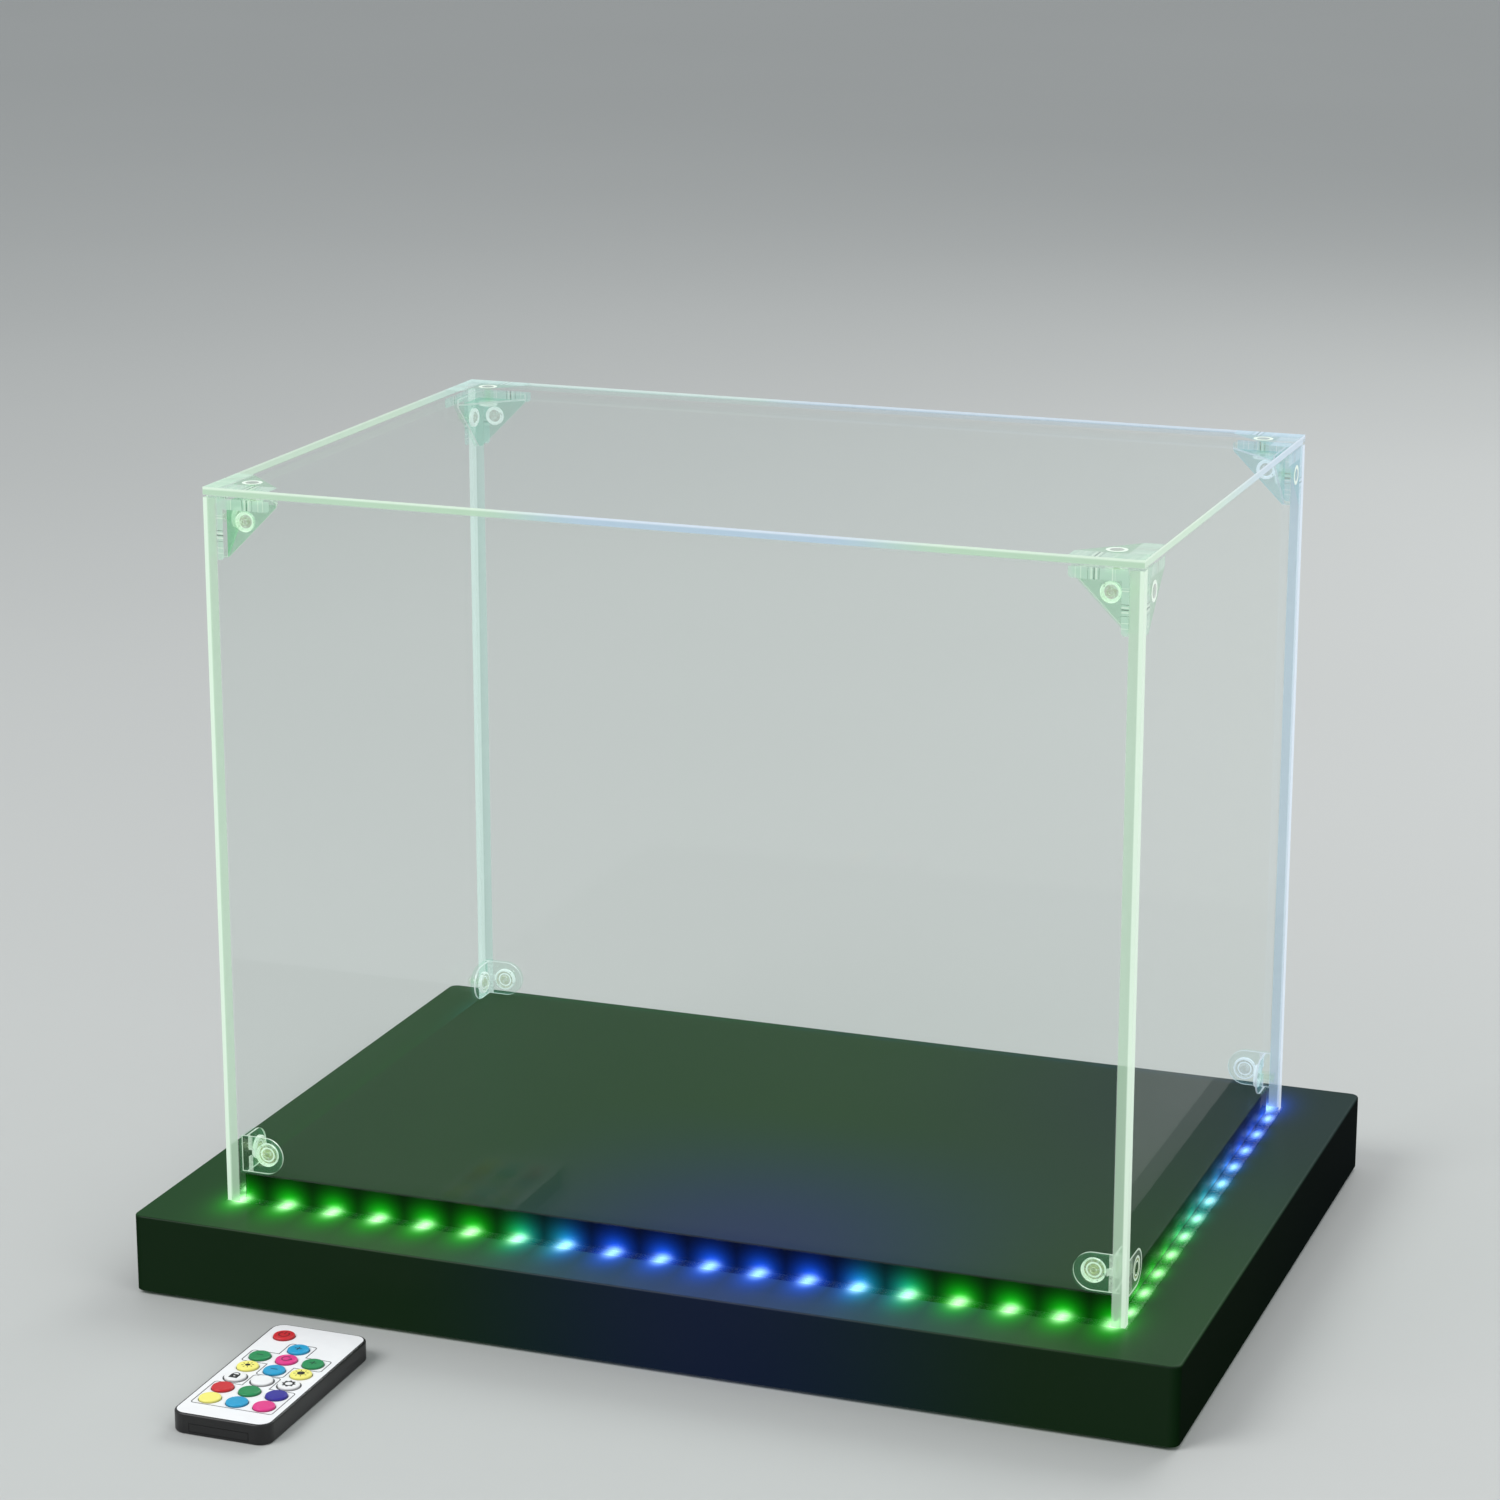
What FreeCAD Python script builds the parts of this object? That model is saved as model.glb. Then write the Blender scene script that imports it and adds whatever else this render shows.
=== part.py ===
"""Lighted display case: a clear lift-off cover on a black base with an LED channel, and its key remote.

Millimetres, +Z up. The origin is the centre of the base's footprint, on the surface that it stands on.
The front faces -Y, and the remote lies on the same surface in front of the base.
"""

import FreeCAD, Part
import math
import os

Vector = FreeCAD.Vector

# Clear cover of five panels
cover_width = 370.0
cover_depth = 250.0
cover_height = 290.0
panel_thickness = 4.0

# Clear brackets in the corners of the cover
bracket_thickness = 2.5
upper_bracket_leg = 24.0
upper_bracket_tip = 3.3
upper_rivet_reach = 10.0
lower_tab_length = 18.0
lower_tab_height = 15.0
lower_rib_thickness = 3.0
lower_rib_clearance = 0.3
lower_bracket_lift = 0.3

# Push rivets, a split sleeve each with an expanding pin
rivet_shank_diameter = 4.6
rivet_hole_clearance = 0.1
upper_head_diameter = 8.0
lower_head_diameter = 9.6
rivet_head_height = 1.6
rivet_head_round = 0.4
rivet_rim_width = 1.1
rivet_dish_depth = 0.6
rivet_end_setback = 0.3
rivet_pin_diameter = 2.2
rivet_pin_clearance = 0.05
rivet_pin_head_diameter = 3.6
rivet_pin_head_height = 0.8

# Black base, a shell that is open below
base_overhang = 28.0
base_height = 33.0
base_corner_radius = 4.0
base_edge_round = 0.8
base_wall = 12.0
cavity_height = 16.0
bottom_cover_thickness = 3.0
bottom_cover_clearance = 0.3
bottom_cover_corner = 3.0
bottom_rim = 4.0
mat_thickness = 1.5
mat_margin = 25.0
mat_corner_radius = 8.0

# Raised plinth inside the cover
plinth_height = 10.5
plinth_clearance = 1.0
plinth_corner_radius = 1.5
plinth_edge_round = 0.6
plinth_screw_inset = 40.0
plinth_screw_diameter = 4.0
plinth_screw_head_diameter = 7.0
plinth_screw_head_height = 2.4
plinth_screw_cover = 3.5

# Countersunk screws of the bottom cover
bottom_screw_diameter = 3.0
bottom_screw_head_diameter = 5.6
bottom_screw_head_height = 1.6
bottom_screw_bite = 8.0
screw_hole_clearance = 0.1

# LED channel round the foot of the plinth
channel_lip = 1.0
channel_side_clearance = 0.3
strip_thickness = 0.4
led_size = 5.0
led_height = 1.6
led_pitch = 20.0
diffuser_thickness = 2.0
link_length = 4.0
link_thickness = 0.3

# Lead from the LED strips down to the controller
lead_diameter = 2.4
lead_hole_clearance = 0.4
lead_pocket = 6.0
lead_run = 45.0
lead_straight = 20.0
lead_jog = 14.0
arc_share = 0.45

# Controller board, hung under the deck
board_length = 70.0
board_depth = 32.0
board_thickness = 1.6
standoff_height = 3.0
standoff_diameter = 6.0
standoff_inset = 4.0
board_screw_diameter = 2.0
board_screw_head_diameter = 3.8
board_screw_head_height = 1.4
plug_length = 8.0
plug_width = 9.0
plug_height = 5.0
chip_size = 10.0
chip_height = 1.6
chip_pitch = 14.0
capacitor_diameter = 6.3
capacitor_height = 6.0
receiver_length = 14.0
receiver_width = 10.0
receiver_height = 3.0

# Gland for the supply cord in the back wall
gland_x = 60.0
gland_bore = 5.0
gland_neck_diameter = 8.0
gland_flange_diameter = 11.0
gland_flange_thickness = 1.5
gland_clearance = 0.1

# Remote control
remote_x = -118.0
remote_gap = 24.0
remote_width = 40.0
remote_length = 87.0
remote_corner_radius = 5.5
remote_edge_round = 0.8
remote_wall = 1.4
remote_floor = 1.2
remote_top_plate = 1.4
remote_fit = 0.3
post_diameter = 3.0
face_margin = 0.9
face_thickness = 0.4
remote_board_thickness = 0.8

# Keys of the remote, in three columns
key_diameter = 8.4
key_gap = 0.25
key_rise = 1.0
key_round = 0.6
key_flange_width = 0.6
key_flange_thickness = 0.4
key_seat_clearance = 0.05
key_travel = 0.6
key_column_pitch = 11.1
key_row_pitch = 10.1
key_first_row = 11.3
keypad_thickness = 0.3
dome_height = 0.9
dome_diameter = 4.0
dome_clearance = 0.5

# Battery tray of the remote
tray_width = 24.0
tray_length = 27.0
tray_thickness = 3.0
tray_clearance = 0.15
rail_thickness = 1.0
cell_diameter = 20.0
cell_thickness = 2.5
cell_clearance = 0.15
contact_thickness = 0.1
contact_width = 4.0
contact_length = 16.0

# Keys by name, with the column from -1 at the left to 1 at the right, and the row from the far end
KEYS = {
    "key_power": (-1, 0),
    "key_speed_up": (0, 1),
    "key_effect_back": (-1, 2),
    "key_auto": (0, 2),
    "key_effect_next": (1, 2),
    "key_dim": (-1, 3),
    "key_speed_down": (0, 3),
    "key_bright": (1, 3),
    "key_lock": (-1, 4),
    "key_white": (0, 4),
    "key_settings": (1, 4),
    "key_red": (-1, 5),
    "key_green": (0, 5),
    "key_blue": (1, 5),
    "key_yellow": (-1, 6),
    "key_cyan": (0, 6),
    "key_pink": (1, 6),
}

# Corners of the cover, with the side each lies on and the quarter turn from the front left corner
CORNERS = {
    "front_left": (-1, -1, 0),
    "front_right": (1, -1, 90),
    "back_right": (1, 1, 180),
    "back_left": (-1, 1, 270),
}

# Half widths of the cover, its inside, the plinth and the base
half_x = cover_width / 2
half_y = cover_depth / 2
inner_x = half_x - panel_thickness
inner_y = half_y - panel_thickness
plinth_x = inner_x - plinth_clearance
plinth_y = inner_y - plinth_clearance
base_x = half_x + base_overhang
base_y = half_y + base_overhang
cavity_x = base_x - base_wall
cavity_y = base_y - base_wall

# Heights from the floor up
base_bottom = mat_thickness
cavity_bottom = base_bottom + bottom_cover_thickness
cavity_top = cavity_bottom + cavity_height
ledge_z = base_height
channel_floor = ledge_z - diffuser_thickness - led_height - strip_thickness
plinth_top = ledge_z + plinth_height
cover_ceiling = ledge_z + cover_height - panel_thickness
cover_top = ledge_z + cover_height

# Middle line of the LED channel, and half the width of the strip in it
channel_width = channel_lip + panel_thickness + plinth_clearance
line_x = half_x + channel_lip - channel_width / 2
line_y = half_y + channel_lip - channel_width / 2
strip_half = channel_width / 2 - channel_side_clearance
strip_top = channel_floor + strip_thickness

# Rivet places along the brackets
lower_rivet_reach = lower_tab_length - lower_tab_height / 2
lower_bracket_z = plinth_top + lower_bracket_lift
rivet_grip = bracket_thickness + panel_thickness

# Controller board and the end of its lead
lead_y = line_y - strip_half - lead_pocket / 2
board_left = lead_run - line_x
board_y = lead_y - lead_jog
board_top = cavity_top - standoff_height
board_bottom = board_top - board_thickness
lead_z = board_bottom - plug_height / 2

# Heights in the remote, from its underside up
tray_bottom = remote_floor + tray_clearance
tray_top = tray_bottom + tray_thickness
remote_board_bottom = tray_top + tray_clearance
remote_board_top = remote_board_bottom + remote_board_thickness
keypad_top = remote_board_top + keypad_thickness
key_bottom = keypad_top + key_travel + key_seat_clearance
plate_bottom = key_bottom + key_flange_thickness + key_seat_clearance
remote_height = plate_bottom + remote_top_plate
remote_y = -(base_y + remote_gap + remote_length / 2)

# Small lengths that cuts run past the faces they open
PAST = 1.0
TOLERANCE = 1e-6


def block(low, high):
    """Box between two opposite corners."""
    low = Vector(*low)
    size = Vector(*high) - low
    return Part.makeBox(size.x, size.y, size.z, low)


def rod(diameter, start, end):
    """Round bar between two points."""
    start = Vector(*start)
    run = Vector(*end) - start
    return Part.makeCylinder(diameter / 2, run.Length, start, run)


def level_edges(shape, height):
    """Edges that lie flat at one height."""
    return [e for e in shape.Edges if all(abs(v.Z - height) < TOLERANCE for v in e.Vertexes)]


def upright_edges(shape):
    """Straight edges that run along Z."""
    return [e for e in shape.Edges if abs(e.Vertexes[0].Z - e.Vertexes[-1].Z) > TOLERANCE]


def rounded_plate(half_width, half_depth, radius, low_z, high_z):
    """Plate about the origin with rounded upright corners."""
    plate = block((-half_width, -half_depth, low_z), (half_width, half_depth, high_z))
    return plate.makeFillet(radius, upright_edges(plate))


def square_ring(outer, inner, low_z, high_z):
    """Rectangular ring about the origin, from its outer and inner half widths."""
    ring = block((-outer[0], -outer[1], low_z), (outer[0], outer[1], high_z))
    return ring.cut(block((-inner[0], -inner[1], low_z), (inner[0], inner[1], high_z)))


def prism(points, run):
    """Flat outline of points pushed along a run."""
    outline = Part.makePolygon(points + [points[0]])
    return Part.Face(outline).extrude(run)


def moved(shape, placement):
    """Copy of a shape, carried by a placement."""
    copy = shape.copy()
    copy.Placement = placement.multiply(copy.Placement)
    return copy


def shifted(shape, x, y, z):
    """Copy of a shape, moved without turning."""
    return moved(shape, FreeCAD.Placement(Vector(x, y, z), FreeCAD.Rotation()))


def corner_placement(corner, height):
    """Placement that carries a piece made for the front left corner to any corner of the cover's inside."""
    side_x, side_y, turn = CORNERS[corner]
    place = Vector(side_x * inner_x, side_y * inner_y, height)
    return FreeCAD.Placement(place, FreeCAD.Rotation(Vector(0, 0, 1), turn))


def upper_rivet_sites(corner):
    """Points on the inner face of an upper bracket where rivet heads sit, with the way each head faces."""
    reach = upper_rivet_reach
    seat = bracket_thickness
    sites = [
        (Vector(reach, seat, -reach), Vector(0, 1, 0)),
        (Vector(seat, reach, -reach), Vector(1, 0, 0)),
        (Vector(reach, reach, -seat), Vector(0, 0, -1)),
    ]
    return carried_sites(sites, corner_placement(corner, cover_ceiling))


def lower_rivet_sites(corner):
    """The same for a lower bracket."""
    height = lower_tab_height / 2
    sites = [
        (Vector(lower_rivet_reach, bracket_thickness, height), Vector(0, 1, 0)),
        (Vector(bracket_thickness, lower_rivet_reach, height), Vector(1, 0, 0)),
    ]
    return carried_sites(sites, corner_placement(corner, lower_bracket_z))


def carried_sites(sites, placement):
    """Sites of the front left corner, carried to another corner."""
    return [(placement.multVec(p), placement.Rotation.multVec(d)) for p, d in sites]


def aimed(shape, site):
    """Copy of a shape made along +Z, with its +Z turned the way a site faces."""
    point, direction = site
    return moved(shape, FreeCAD.Placement(point, FreeCAD.Rotation(Vector(0, 0, 1), direction)))


def all_sites(finder):
    """Sites of all four corners in one list."""
    return [site for corner in CORNERS for site in finder(corner)]


def rivet_holes(sites):
    """Cutters for the holes that the rivets pass through, in brackets and panels."""
    diameter = rivet_shank_diameter + 2 * rivet_hole_clearance
    cutter = rod(diameter, (0, 0, -rivet_grip - PAST), (0, 0, PAST))
    return [aimed(cutter, site) for site in sites]


def rivet_sleeve(head_diameter):
    """Sleeve with a dished head above Z = 0 and a shank below."""
    head = rod(head_diameter, (0, 0, 0), (0, 0, rivet_head_height))
    head = head.makeFillet(rivet_head_round, level_edges(head, rivet_head_height))
    dish_diameter = head_diameter - 2 * rivet_rim_width
    dish_floor = rivet_head_height - rivet_dish_depth
    dish = rod(dish_diameter, (0, 0, dish_floor), (0, 0, rivet_head_height + PAST))
    shank_end = rivet_end_setback - rivet_grip
    shank = rod(rivet_shank_diameter, (0, 0, shank_end), (0, 0, 0))
    bore_diameter = rivet_pin_diameter + 2 * rivet_pin_clearance
    bore = rod(bore_diameter, (0, 0, shank_end - PAST), (0, 0, rivet_head_height))
    return head.fuse(shank).removeSplitter().cut([dish, bore])


def rivet_pin():
    """Pin whose head lies in the dish of the sleeve."""
    seat = rivet_head_height - rivet_dish_depth
    head_top = seat + rivet_pin_head_height
    head = rod(rivet_pin_head_diameter, (0, 0, seat), (0, 0, head_top))
    head = head.makeFillet(rivet_head_round, level_edges(head, head_top))
    shank = rod(rivet_pin_diameter, (0, 0, rivet_end_setback - rivet_grip), (0, 0, seat))
    return head.fuse(shank).removeSplitter()


def triangle_flange(along, across, inward):
    """Right-angled flange with blunt tips, lying in the plane of two directions from the corner."""
    leg = upper_bracket_leg
    tip = upper_bracket_tip
    outline = [(0, 0), (leg, 0), (leg, tip), (tip, leg), (0, leg)]
    points = [along * a + across * b for a, b in outline]
    return prism(points, inward * bracket_thickness)


def upper_bracket():
    """Three flanges against the front, the side and the top panel, made for the front left corner."""
    right = Vector(1, 0, 0)
    back = Vector(0, 1, 0)
    down = Vector(0, 0, -1)
    front_flange = triangle_flange(right, down, back)
    side_flange = triangle_flange(back, down, right)
    top_flange = triangle_flange(right, back, down)
    return front_flange.fuse([side_flange, top_flange]).removeSplitter()


def round_ended_tab(along, inward):
    """Upright tab from the corner, with a full round at its free end."""
    radius = lower_tab_height / 2
    rise = Vector(0, 0, lower_tab_height)
    turn = along * lower_rivet_reach
    start = Vector(0, 0, 0)
    tip = turn + along * radius + rise * 0.5
    edges = [
        Part.LineSegment(start, turn).toShape(),
        Part.Arc(turn, tip, turn + rise).toShape(),
        Part.LineSegment(turn + rise, rise).toShape(),
        Part.LineSegment(rise, start).toShape(),
    ]
    return Part.Face(Part.Wire(edges)).extrude(inward * bracket_thickness)


def lower_bracket():
    """Angle of two tabs with a rib in its inner corner, made for the front left corner."""
    front_tab = round_ended_tab(Vector(1, 0, 0), Vector(0, 1, 0))
    side_tab = round_ended_tab(Vector(0, 1, 0), Vector(1, 0, 0))
    foot = bracket_thickness
    rib_leg = lower_rivet_reach - lower_head_diameter / 2 - foot - lower_rib_clearance
    rib_z = (lower_tab_height - lower_rib_thickness) / 2
    corners = [(foot, foot), (foot + rib_leg, foot), (foot, foot + rib_leg)]
    rib = prism([Vector(x, y, rib_z) for x, y in corners], Vector(0, 0, lower_rib_thickness))
    return front_tab.fuse([side_tab, rib]).removeSplitter()


def cover_nodes():
    """Panels, brackets and rivets of the cover, which lift off together."""
    upper_sites = all_sites(upper_rivet_sites)
    lower_sites = all_sites(lower_rivet_sites)
    holes = rivet_holes(upper_sites + lower_sites)
    low = ledge_z
    high = cover_ceiling
    panels = {
        "front_panel": block((-half_x, -half_y, low), (half_x, -inner_y, high)),
        "back_panel": block((-half_x, inner_y, low), (half_x, half_y, high)),
        "left_panel": block((-half_x, -inner_y, low), (-inner_x, inner_y, high)),
        "right_panel": block((inner_x, -inner_y, low), (half_x, inner_y, high)),
        "top_panel": block((-half_x, -half_y, high), (half_x, half_y, cover_top)),
    }
    nodes = {name: panel.cut(holes) for name, panel in panels.items()}
    for corner in CORNERS:
        upper = moved(upper_bracket(), corner_placement(corner, cover_ceiling))
        lower = moved(lower_bracket(), corner_placement(corner, lower_bracket_z))
        nodes["upper_bracket_" + corner] = upper.cut(rivet_holes(upper_rivet_sites(corner)))
        nodes["lower_bracket_" + corner] = lower.cut(rivet_holes(lower_rivet_sites(corner)))
    rows = {
        "upper": (upper_sites, upper_head_diameter),
        "lower": (lower_sites, lower_head_diameter),
    }
    for row, (sites, head_diameter) in rows.items():
        sleeves = [aimed(rivet_sleeve(head_diameter), site) for site in sites]
        pins = [aimed(rivet_pin(), site) for site in sites]
        nodes[row + "_rivet_sleeves"] = Part.Compound(sleeves)
        nodes[row + "_rivet_pins"] = Part.Compound(pins)
    return nodes


def plinth_screw_places():
    """Six places under the plinth, as X and Y."""
    x = plinth_x - plinth_screw_inset
    y = plinth_y - plinth_screw_inset
    return [(column, row) for column in (-x, 0, x) for row in (-y, y)]


def bottom_screw_places():
    """Eight places round the rim of the bottom cover, as X and Y."""
    inset = (bottom_rim + base_wall) / 2
    x = base_x - inset
    y = base_y - inset
    grid = [(column, row) for column in (-x, 0, x) for row in (-y, 0, y)]
    return [place for place in grid if place != (0, 0)]


def standoff_places():
    """Four corners of the controller board, as X and Y."""
    left = board_left + standoff_inset
    right = board_left + board_length - standoff_inset
    reach = board_depth / 2 - standoff_inset
    return [(x, board_y + side * reach) for x in (left, right) for side in (-1, 1)]


def screw_holes(places, diameter, low_z, high_z):
    """Cutters for upright screw holes."""
    hole_diameter = diameter + 2 * screw_hole_clearance
    return [rod(hole_diameter, (x, y, low_z), (x, y, high_z)) for x, y in places]


def bottom_screw():
    """Countersunk screw whose head ends at Z = 0, pointing up."""
    shank_radius = bottom_screw_diameter / 2
    head_radius = bottom_screw_head_diameter / 2
    head = Part.makeCone(head_radius, shank_radius, bottom_screw_head_height)
    length = bottom_cover_thickness + bottom_screw_bite
    shank = rod(bottom_screw_diameter, (0, 0, bottom_screw_head_height), (0, 0, length))
    return head.fuse(shank).removeSplitter()


def bottom_screw_cutter():
    """Countersunk hole with room round the screw."""
    shank_radius = bottom_screw_diameter / 2 + screw_hole_clearance
    head_radius = bottom_screw_head_diameter / 2 + screw_hole_clearance
    sink = Part.makeCone(head_radius, shank_radius, bottom_screw_head_height)
    length = bottom_cover_thickness + bottom_screw_bite
    return sink.fuse(rod(2 * shank_radius, (0, 0, 0), (0, 0, length)))


def pan_screw(diameter, length, head_diameter, head_height):
    """Screw with its head below Z = 0 and its shank above."""
    head = rod(head_diameter, (0, 0, -head_height), (0, 0, 0))
    shank = rod(diameter, (0, 0, 0), (0, 0, length))
    return head.fuse(shank).removeSplitter()


def base_shell():
    """Black shell with its ledge, LED channel, inside cavity and every hole."""
    shell = rounded_plate(base_x, base_y, base_corner_radius, base_bottom, ledge_z)
    shell = shell.makeFillet(base_edge_round, level_edges(shell, ledge_z))
    rebate_x = base_x - bottom_rim
    rebate_y = base_y - bottom_rim
    below = base_bottom - PAST
    cavity = block((-cavity_x, -cavity_y, below), (cavity_x, cavity_y, cavity_top))
    rebate = block((-rebate_x, -rebate_y, below), (rebate_x, rebate_y, cavity_bottom))
    channel_outer = (half_x + channel_lip, half_y + channel_lip)
    channel = square_ring(channel_outer, (plinth_x, plinth_y), channel_floor, ledge_z + PAST)
    shell = shell.cut([cavity, rebate, channel])
    posts = []
    for x, y in standoff_places():
        posts.append(rod(standoff_diameter, (x, y, board_top), (x, y, cavity_top)))
    shell = shell.fuse(posts).removeSplitter()
    cutters = screw_holes(plinth_screw_places(), plinth_screw_diameter, cavity_top - PAST, ledge_z + PAST)
    cutters += screw_holes(standoff_places(), board_screw_diameter, board_top - PAST, cavity_top)
    for x, y in bottom_screw_places():
        cutters.append(shifted(bottom_screw_cutter(), x, y, base_bottom))
    lead_hole = lead_diameter + 2 * lead_hole_clearance
    cutters.append(rod(lead_hole, (-line_x, lead_y, cavity_top - PAST), (-line_x, lead_y, ledge_z)))
    gland_hole = gland_neck_diameter + 2 * gland_clearance
    gland_z = (cavity_bottom + cavity_top) / 2
    cutters.append(rod(gland_hole, (gland_x, cavity_y - PAST, gland_z), (gland_x, base_y + PAST, gland_z)))
    return shell.cut(cutters)


def plinth():
    """Raised board with screw holes from below."""
    board = rounded_plate(plinth_x, plinth_y, plinth_corner_radius, ledge_z, plinth_top)
    board = board.makeFillet(plinth_edge_round, level_edges(board, plinth_top))
    hole_end = plinth_top - plinth_screw_cover + screw_hole_clearance
    return board.cut(screw_holes(plinth_screw_places(), plinth_screw_diameter, ledge_z - PAST, hole_end))


def plinth_screws():
    """Screws through the deck into the plinth."""
    length = plinth_top - plinth_screw_cover - cavity_top
    screw = pan_screw(plinth_screw_diameter, length, plinth_screw_head_diameter, plinth_screw_head_height)
    return Part.Compound([shifted(screw, x, y, cavity_top) for x, y in plinth_screw_places()])


def bottom_cover():
    """Plate in the rebate under the base."""
    reach_x = base_x - bottom_rim - bottom_cover_clearance
    reach_y = base_y - bottom_rim - bottom_cover_clearance
    plate = rounded_plate(reach_x, reach_y, bottom_cover_corner, base_bottom, cavity_bottom)
    return plate.cut([shifted(bottom_screw_cutter(), x, y, base_bottom) for x, y in bottom_screw_places()])


def cord_gland():
    """Rubber gland with a flange on both faces of the back wall."""
    middle_z = (cavity_bottom + cavity_top) / 2
    inside = cavity_y - gland_flange_thickness
    outside = base_y + gland_flange_thickness

    def ring(diameter, near, far):
        return rod(diameter, (gland_x, near, middle_z), (gland_x, far, middle_z))

    neck = ring(gland_neck_diameter, inside, outside)
    inner_flange = ring(gland_flange_diameter, inside, cavity_y)
    outer_flange = ring(gland_flange_diameter, base_y, outside)
    body = neck.fuse([inner_flange, outer_flange]).removeSplitter()
    return body.cut(ring(gland_bore, inside - PAST, outside + PAST))


def led_offsets(half_run):
    """Even places along a strip, about its middle."""
    count = int(2 * half_run / led_pitch) + 1
    return [(i - (count - 1) / 2) * led_pitch for i in range(count)]


def led_places():
    """Middle of every LED, as X and Y."""
    long_row = led_offsets(line_x - led_size / 2)
    short_row = led_offsets(line_y - strip_half - lead_pocket - led_size / 2)
    places = [(x, side * line_y) for side in (-1, 1) for x in long_row]
    return places + [(side * line_x, y) for side in (-1, 1) for y in short_row]


def led_strip():
    """Four flexible boards in the channel. The left one stops short, where the lead comes up."""
    end_x = line_x + strip_half
    end_y = line_y - strip_half

    def board(low_x, low_y, high_x, high_y):
        return block((low_x, low_y, channel_floor), (high_x, high_y, strip_top))

    front = board(-end_x, -line_y - strip_half, end_x, -end_y)
    back = board(-end_x, end_y, end_x, line_y + strip_half)
    right = board(line_x - strip_half, -end_y, end_x, end_y)
    left = board(-end_x, -end_y, strip_half - line_x, end_y - lead_pocket)
    return Part.Compound([front, back, right, left])


def strip_links():
    """Solder links over the seams between the strips, at every corner but the one with the lead."""
    near = channel_side_clearance
    far = strip_half - channel_side_clearance
    seam = line_y - strip_half
    links = []
    for corner, (side_x, side_y, _) in CORNERS.items():
        if corner == "back_left":
            continue
        xs = sorted((side_x * (line_x + near), side_x * (line_x + far)))
        ys = sorted((side_y * (seam - link_length / 2), side_y * (seam + link_length / 2)))
        links.append(block((xs[0], ys[0], strip_top), (xs[1], ys[1], strip_top + link_thickness)))
    return Part.Compound(links)


def led_chips():
    """One square package at every place along the strips."""
    reach = led_size / 2
    chip = block((-reach, -reach, strip_top), (reach, reach, strip_top + led_height))
    return Part.Compound([shifted(chip, x, y, 0) for x, y in led_places()])


def led_diffuser():
    """Clear strip over the LEDs, flush with the ledge, that the cover stands on."""
    outer = (half_x + channel_lip - channel_side_clearance, half_y + channel_lip - channel_side_clearance)
    inner = (plinth_x + channel_side_clearance, plinth_y + channel_side_clearance)
    return square_ring(outer, inner, ledge_z - diffuser_thickness, ledge_z)


def arc_path(points):
    """Straight runs joined by tangent arcs as large as the runs allow."""
    edges = []
    start = points[0]
    for before, corner, after in zip(points, points[1:], points[2:]):
        arriving = (corner - before).normalize()
        leaving = (after - corner).normalize()
        turn = arriving.getAngle(leaving)
        shorter = min((corner - before).Length, (after - corner).Length)
        setback = arc_share * shorter
        radius = setback / math.tan(turn / 2)
        print("lead arc radius", round(radius, 2))
        arc_start = corner - arriving * setback
        arc_end = corner + leaving * setback
        bow = (leaving - arriving).normalize()
        arc_middle = corner + bow * (math.hypot(radius, setback) - radius)
        edges.append(Part.LineSegment(start, arc_start).toShape())
        edges.append(Part.Arc(arc_start, arc_middle, arc_end).toShape())
        start = arc_end
    edges.append(Part.LineSegment(start, points[-1]).toShape())
    return Part.Wire(edges)


def strip_lead():
    """Lead from the left strip down through the deck and along to the controller."""
    points = [
        Vector(-line_x, lead_y, strip_top),
        Vector(-line_x, lead_y, lead_z),
        Vector(board_left - lead_straight, board_y, lead_z),
        Vector(board_left, board_y, lead_z),
    ]
    section = Part.Wire(Part.makeCircle(lead_diameter / 2, points[0], Vector(0, 0, -1)))
    return arc_path(points).makePipeShell([section], True, False)


def controller_board():
    """Circuit board on the standoffs."""
    low = (board_left, board_y - board_depth / 2, board_bottom)
    high = (board_left + board_length, board_y + board_depth / 2, board_top)
    return block(low, high).cut(screw_holes(standoff_places(), board_screw_diameter, board_bottom, board_top))


def under_board(x, y, length, width, height):
    """Square part on the underside of the controller board, about a middle point."""
    low = (x - length / 2, y - width / 2, board_bottom - height)
    return block(low, (x + length / 2, y + width / 2, board_bottom))


def controller_parts():
    """Plugs, chips and capacitor on the controller board."""
    right = board_left + board_length
    middle = (board_left + right) / 2
    output_plug = under_board(board_left + plug_length / 2, board_y, plug_length, plug_width, plug_height)
    supply_plug = under_board(right - plug_length / 2, board_y, plug_length, plug_width, plug_height)
    processor = under_board(middle, board_y, chip_size, chip_size, chip_height)
    driver = under_board(middle - chip_pitch, board_y, chip_size, chip_size, chip_height)
    can_x = middle + chip_pitch
    capacitor = rod(capacitor_diameter, (can_x, board_y, board_bottom - capacitor_height), (can_x, board_y, board_bottom))
    return Part.Compound([output_plug, supply_plug, processor, driver, capacitor])


def radio_receiver():
    """Screened receiver beside the processor."""
    middle = board_left + board_length / 2
    y = board_y - board_depth / 2 + receiver_width / 2
    return under_board(middle, y, receiver_length, receiver_width, receiver_height)


def board_screws():
    """Screws that hold the controller board to the standoffs."""
    length = board_thickness + standoff_height
    screw = pan_screw(board_screw_diameter, length, board_screw_head_diameter, board_screw_head_height)
    return Part.Compound([shifted(screw, x, y, board_bottom) for x, y in standoff_places()])


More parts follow.
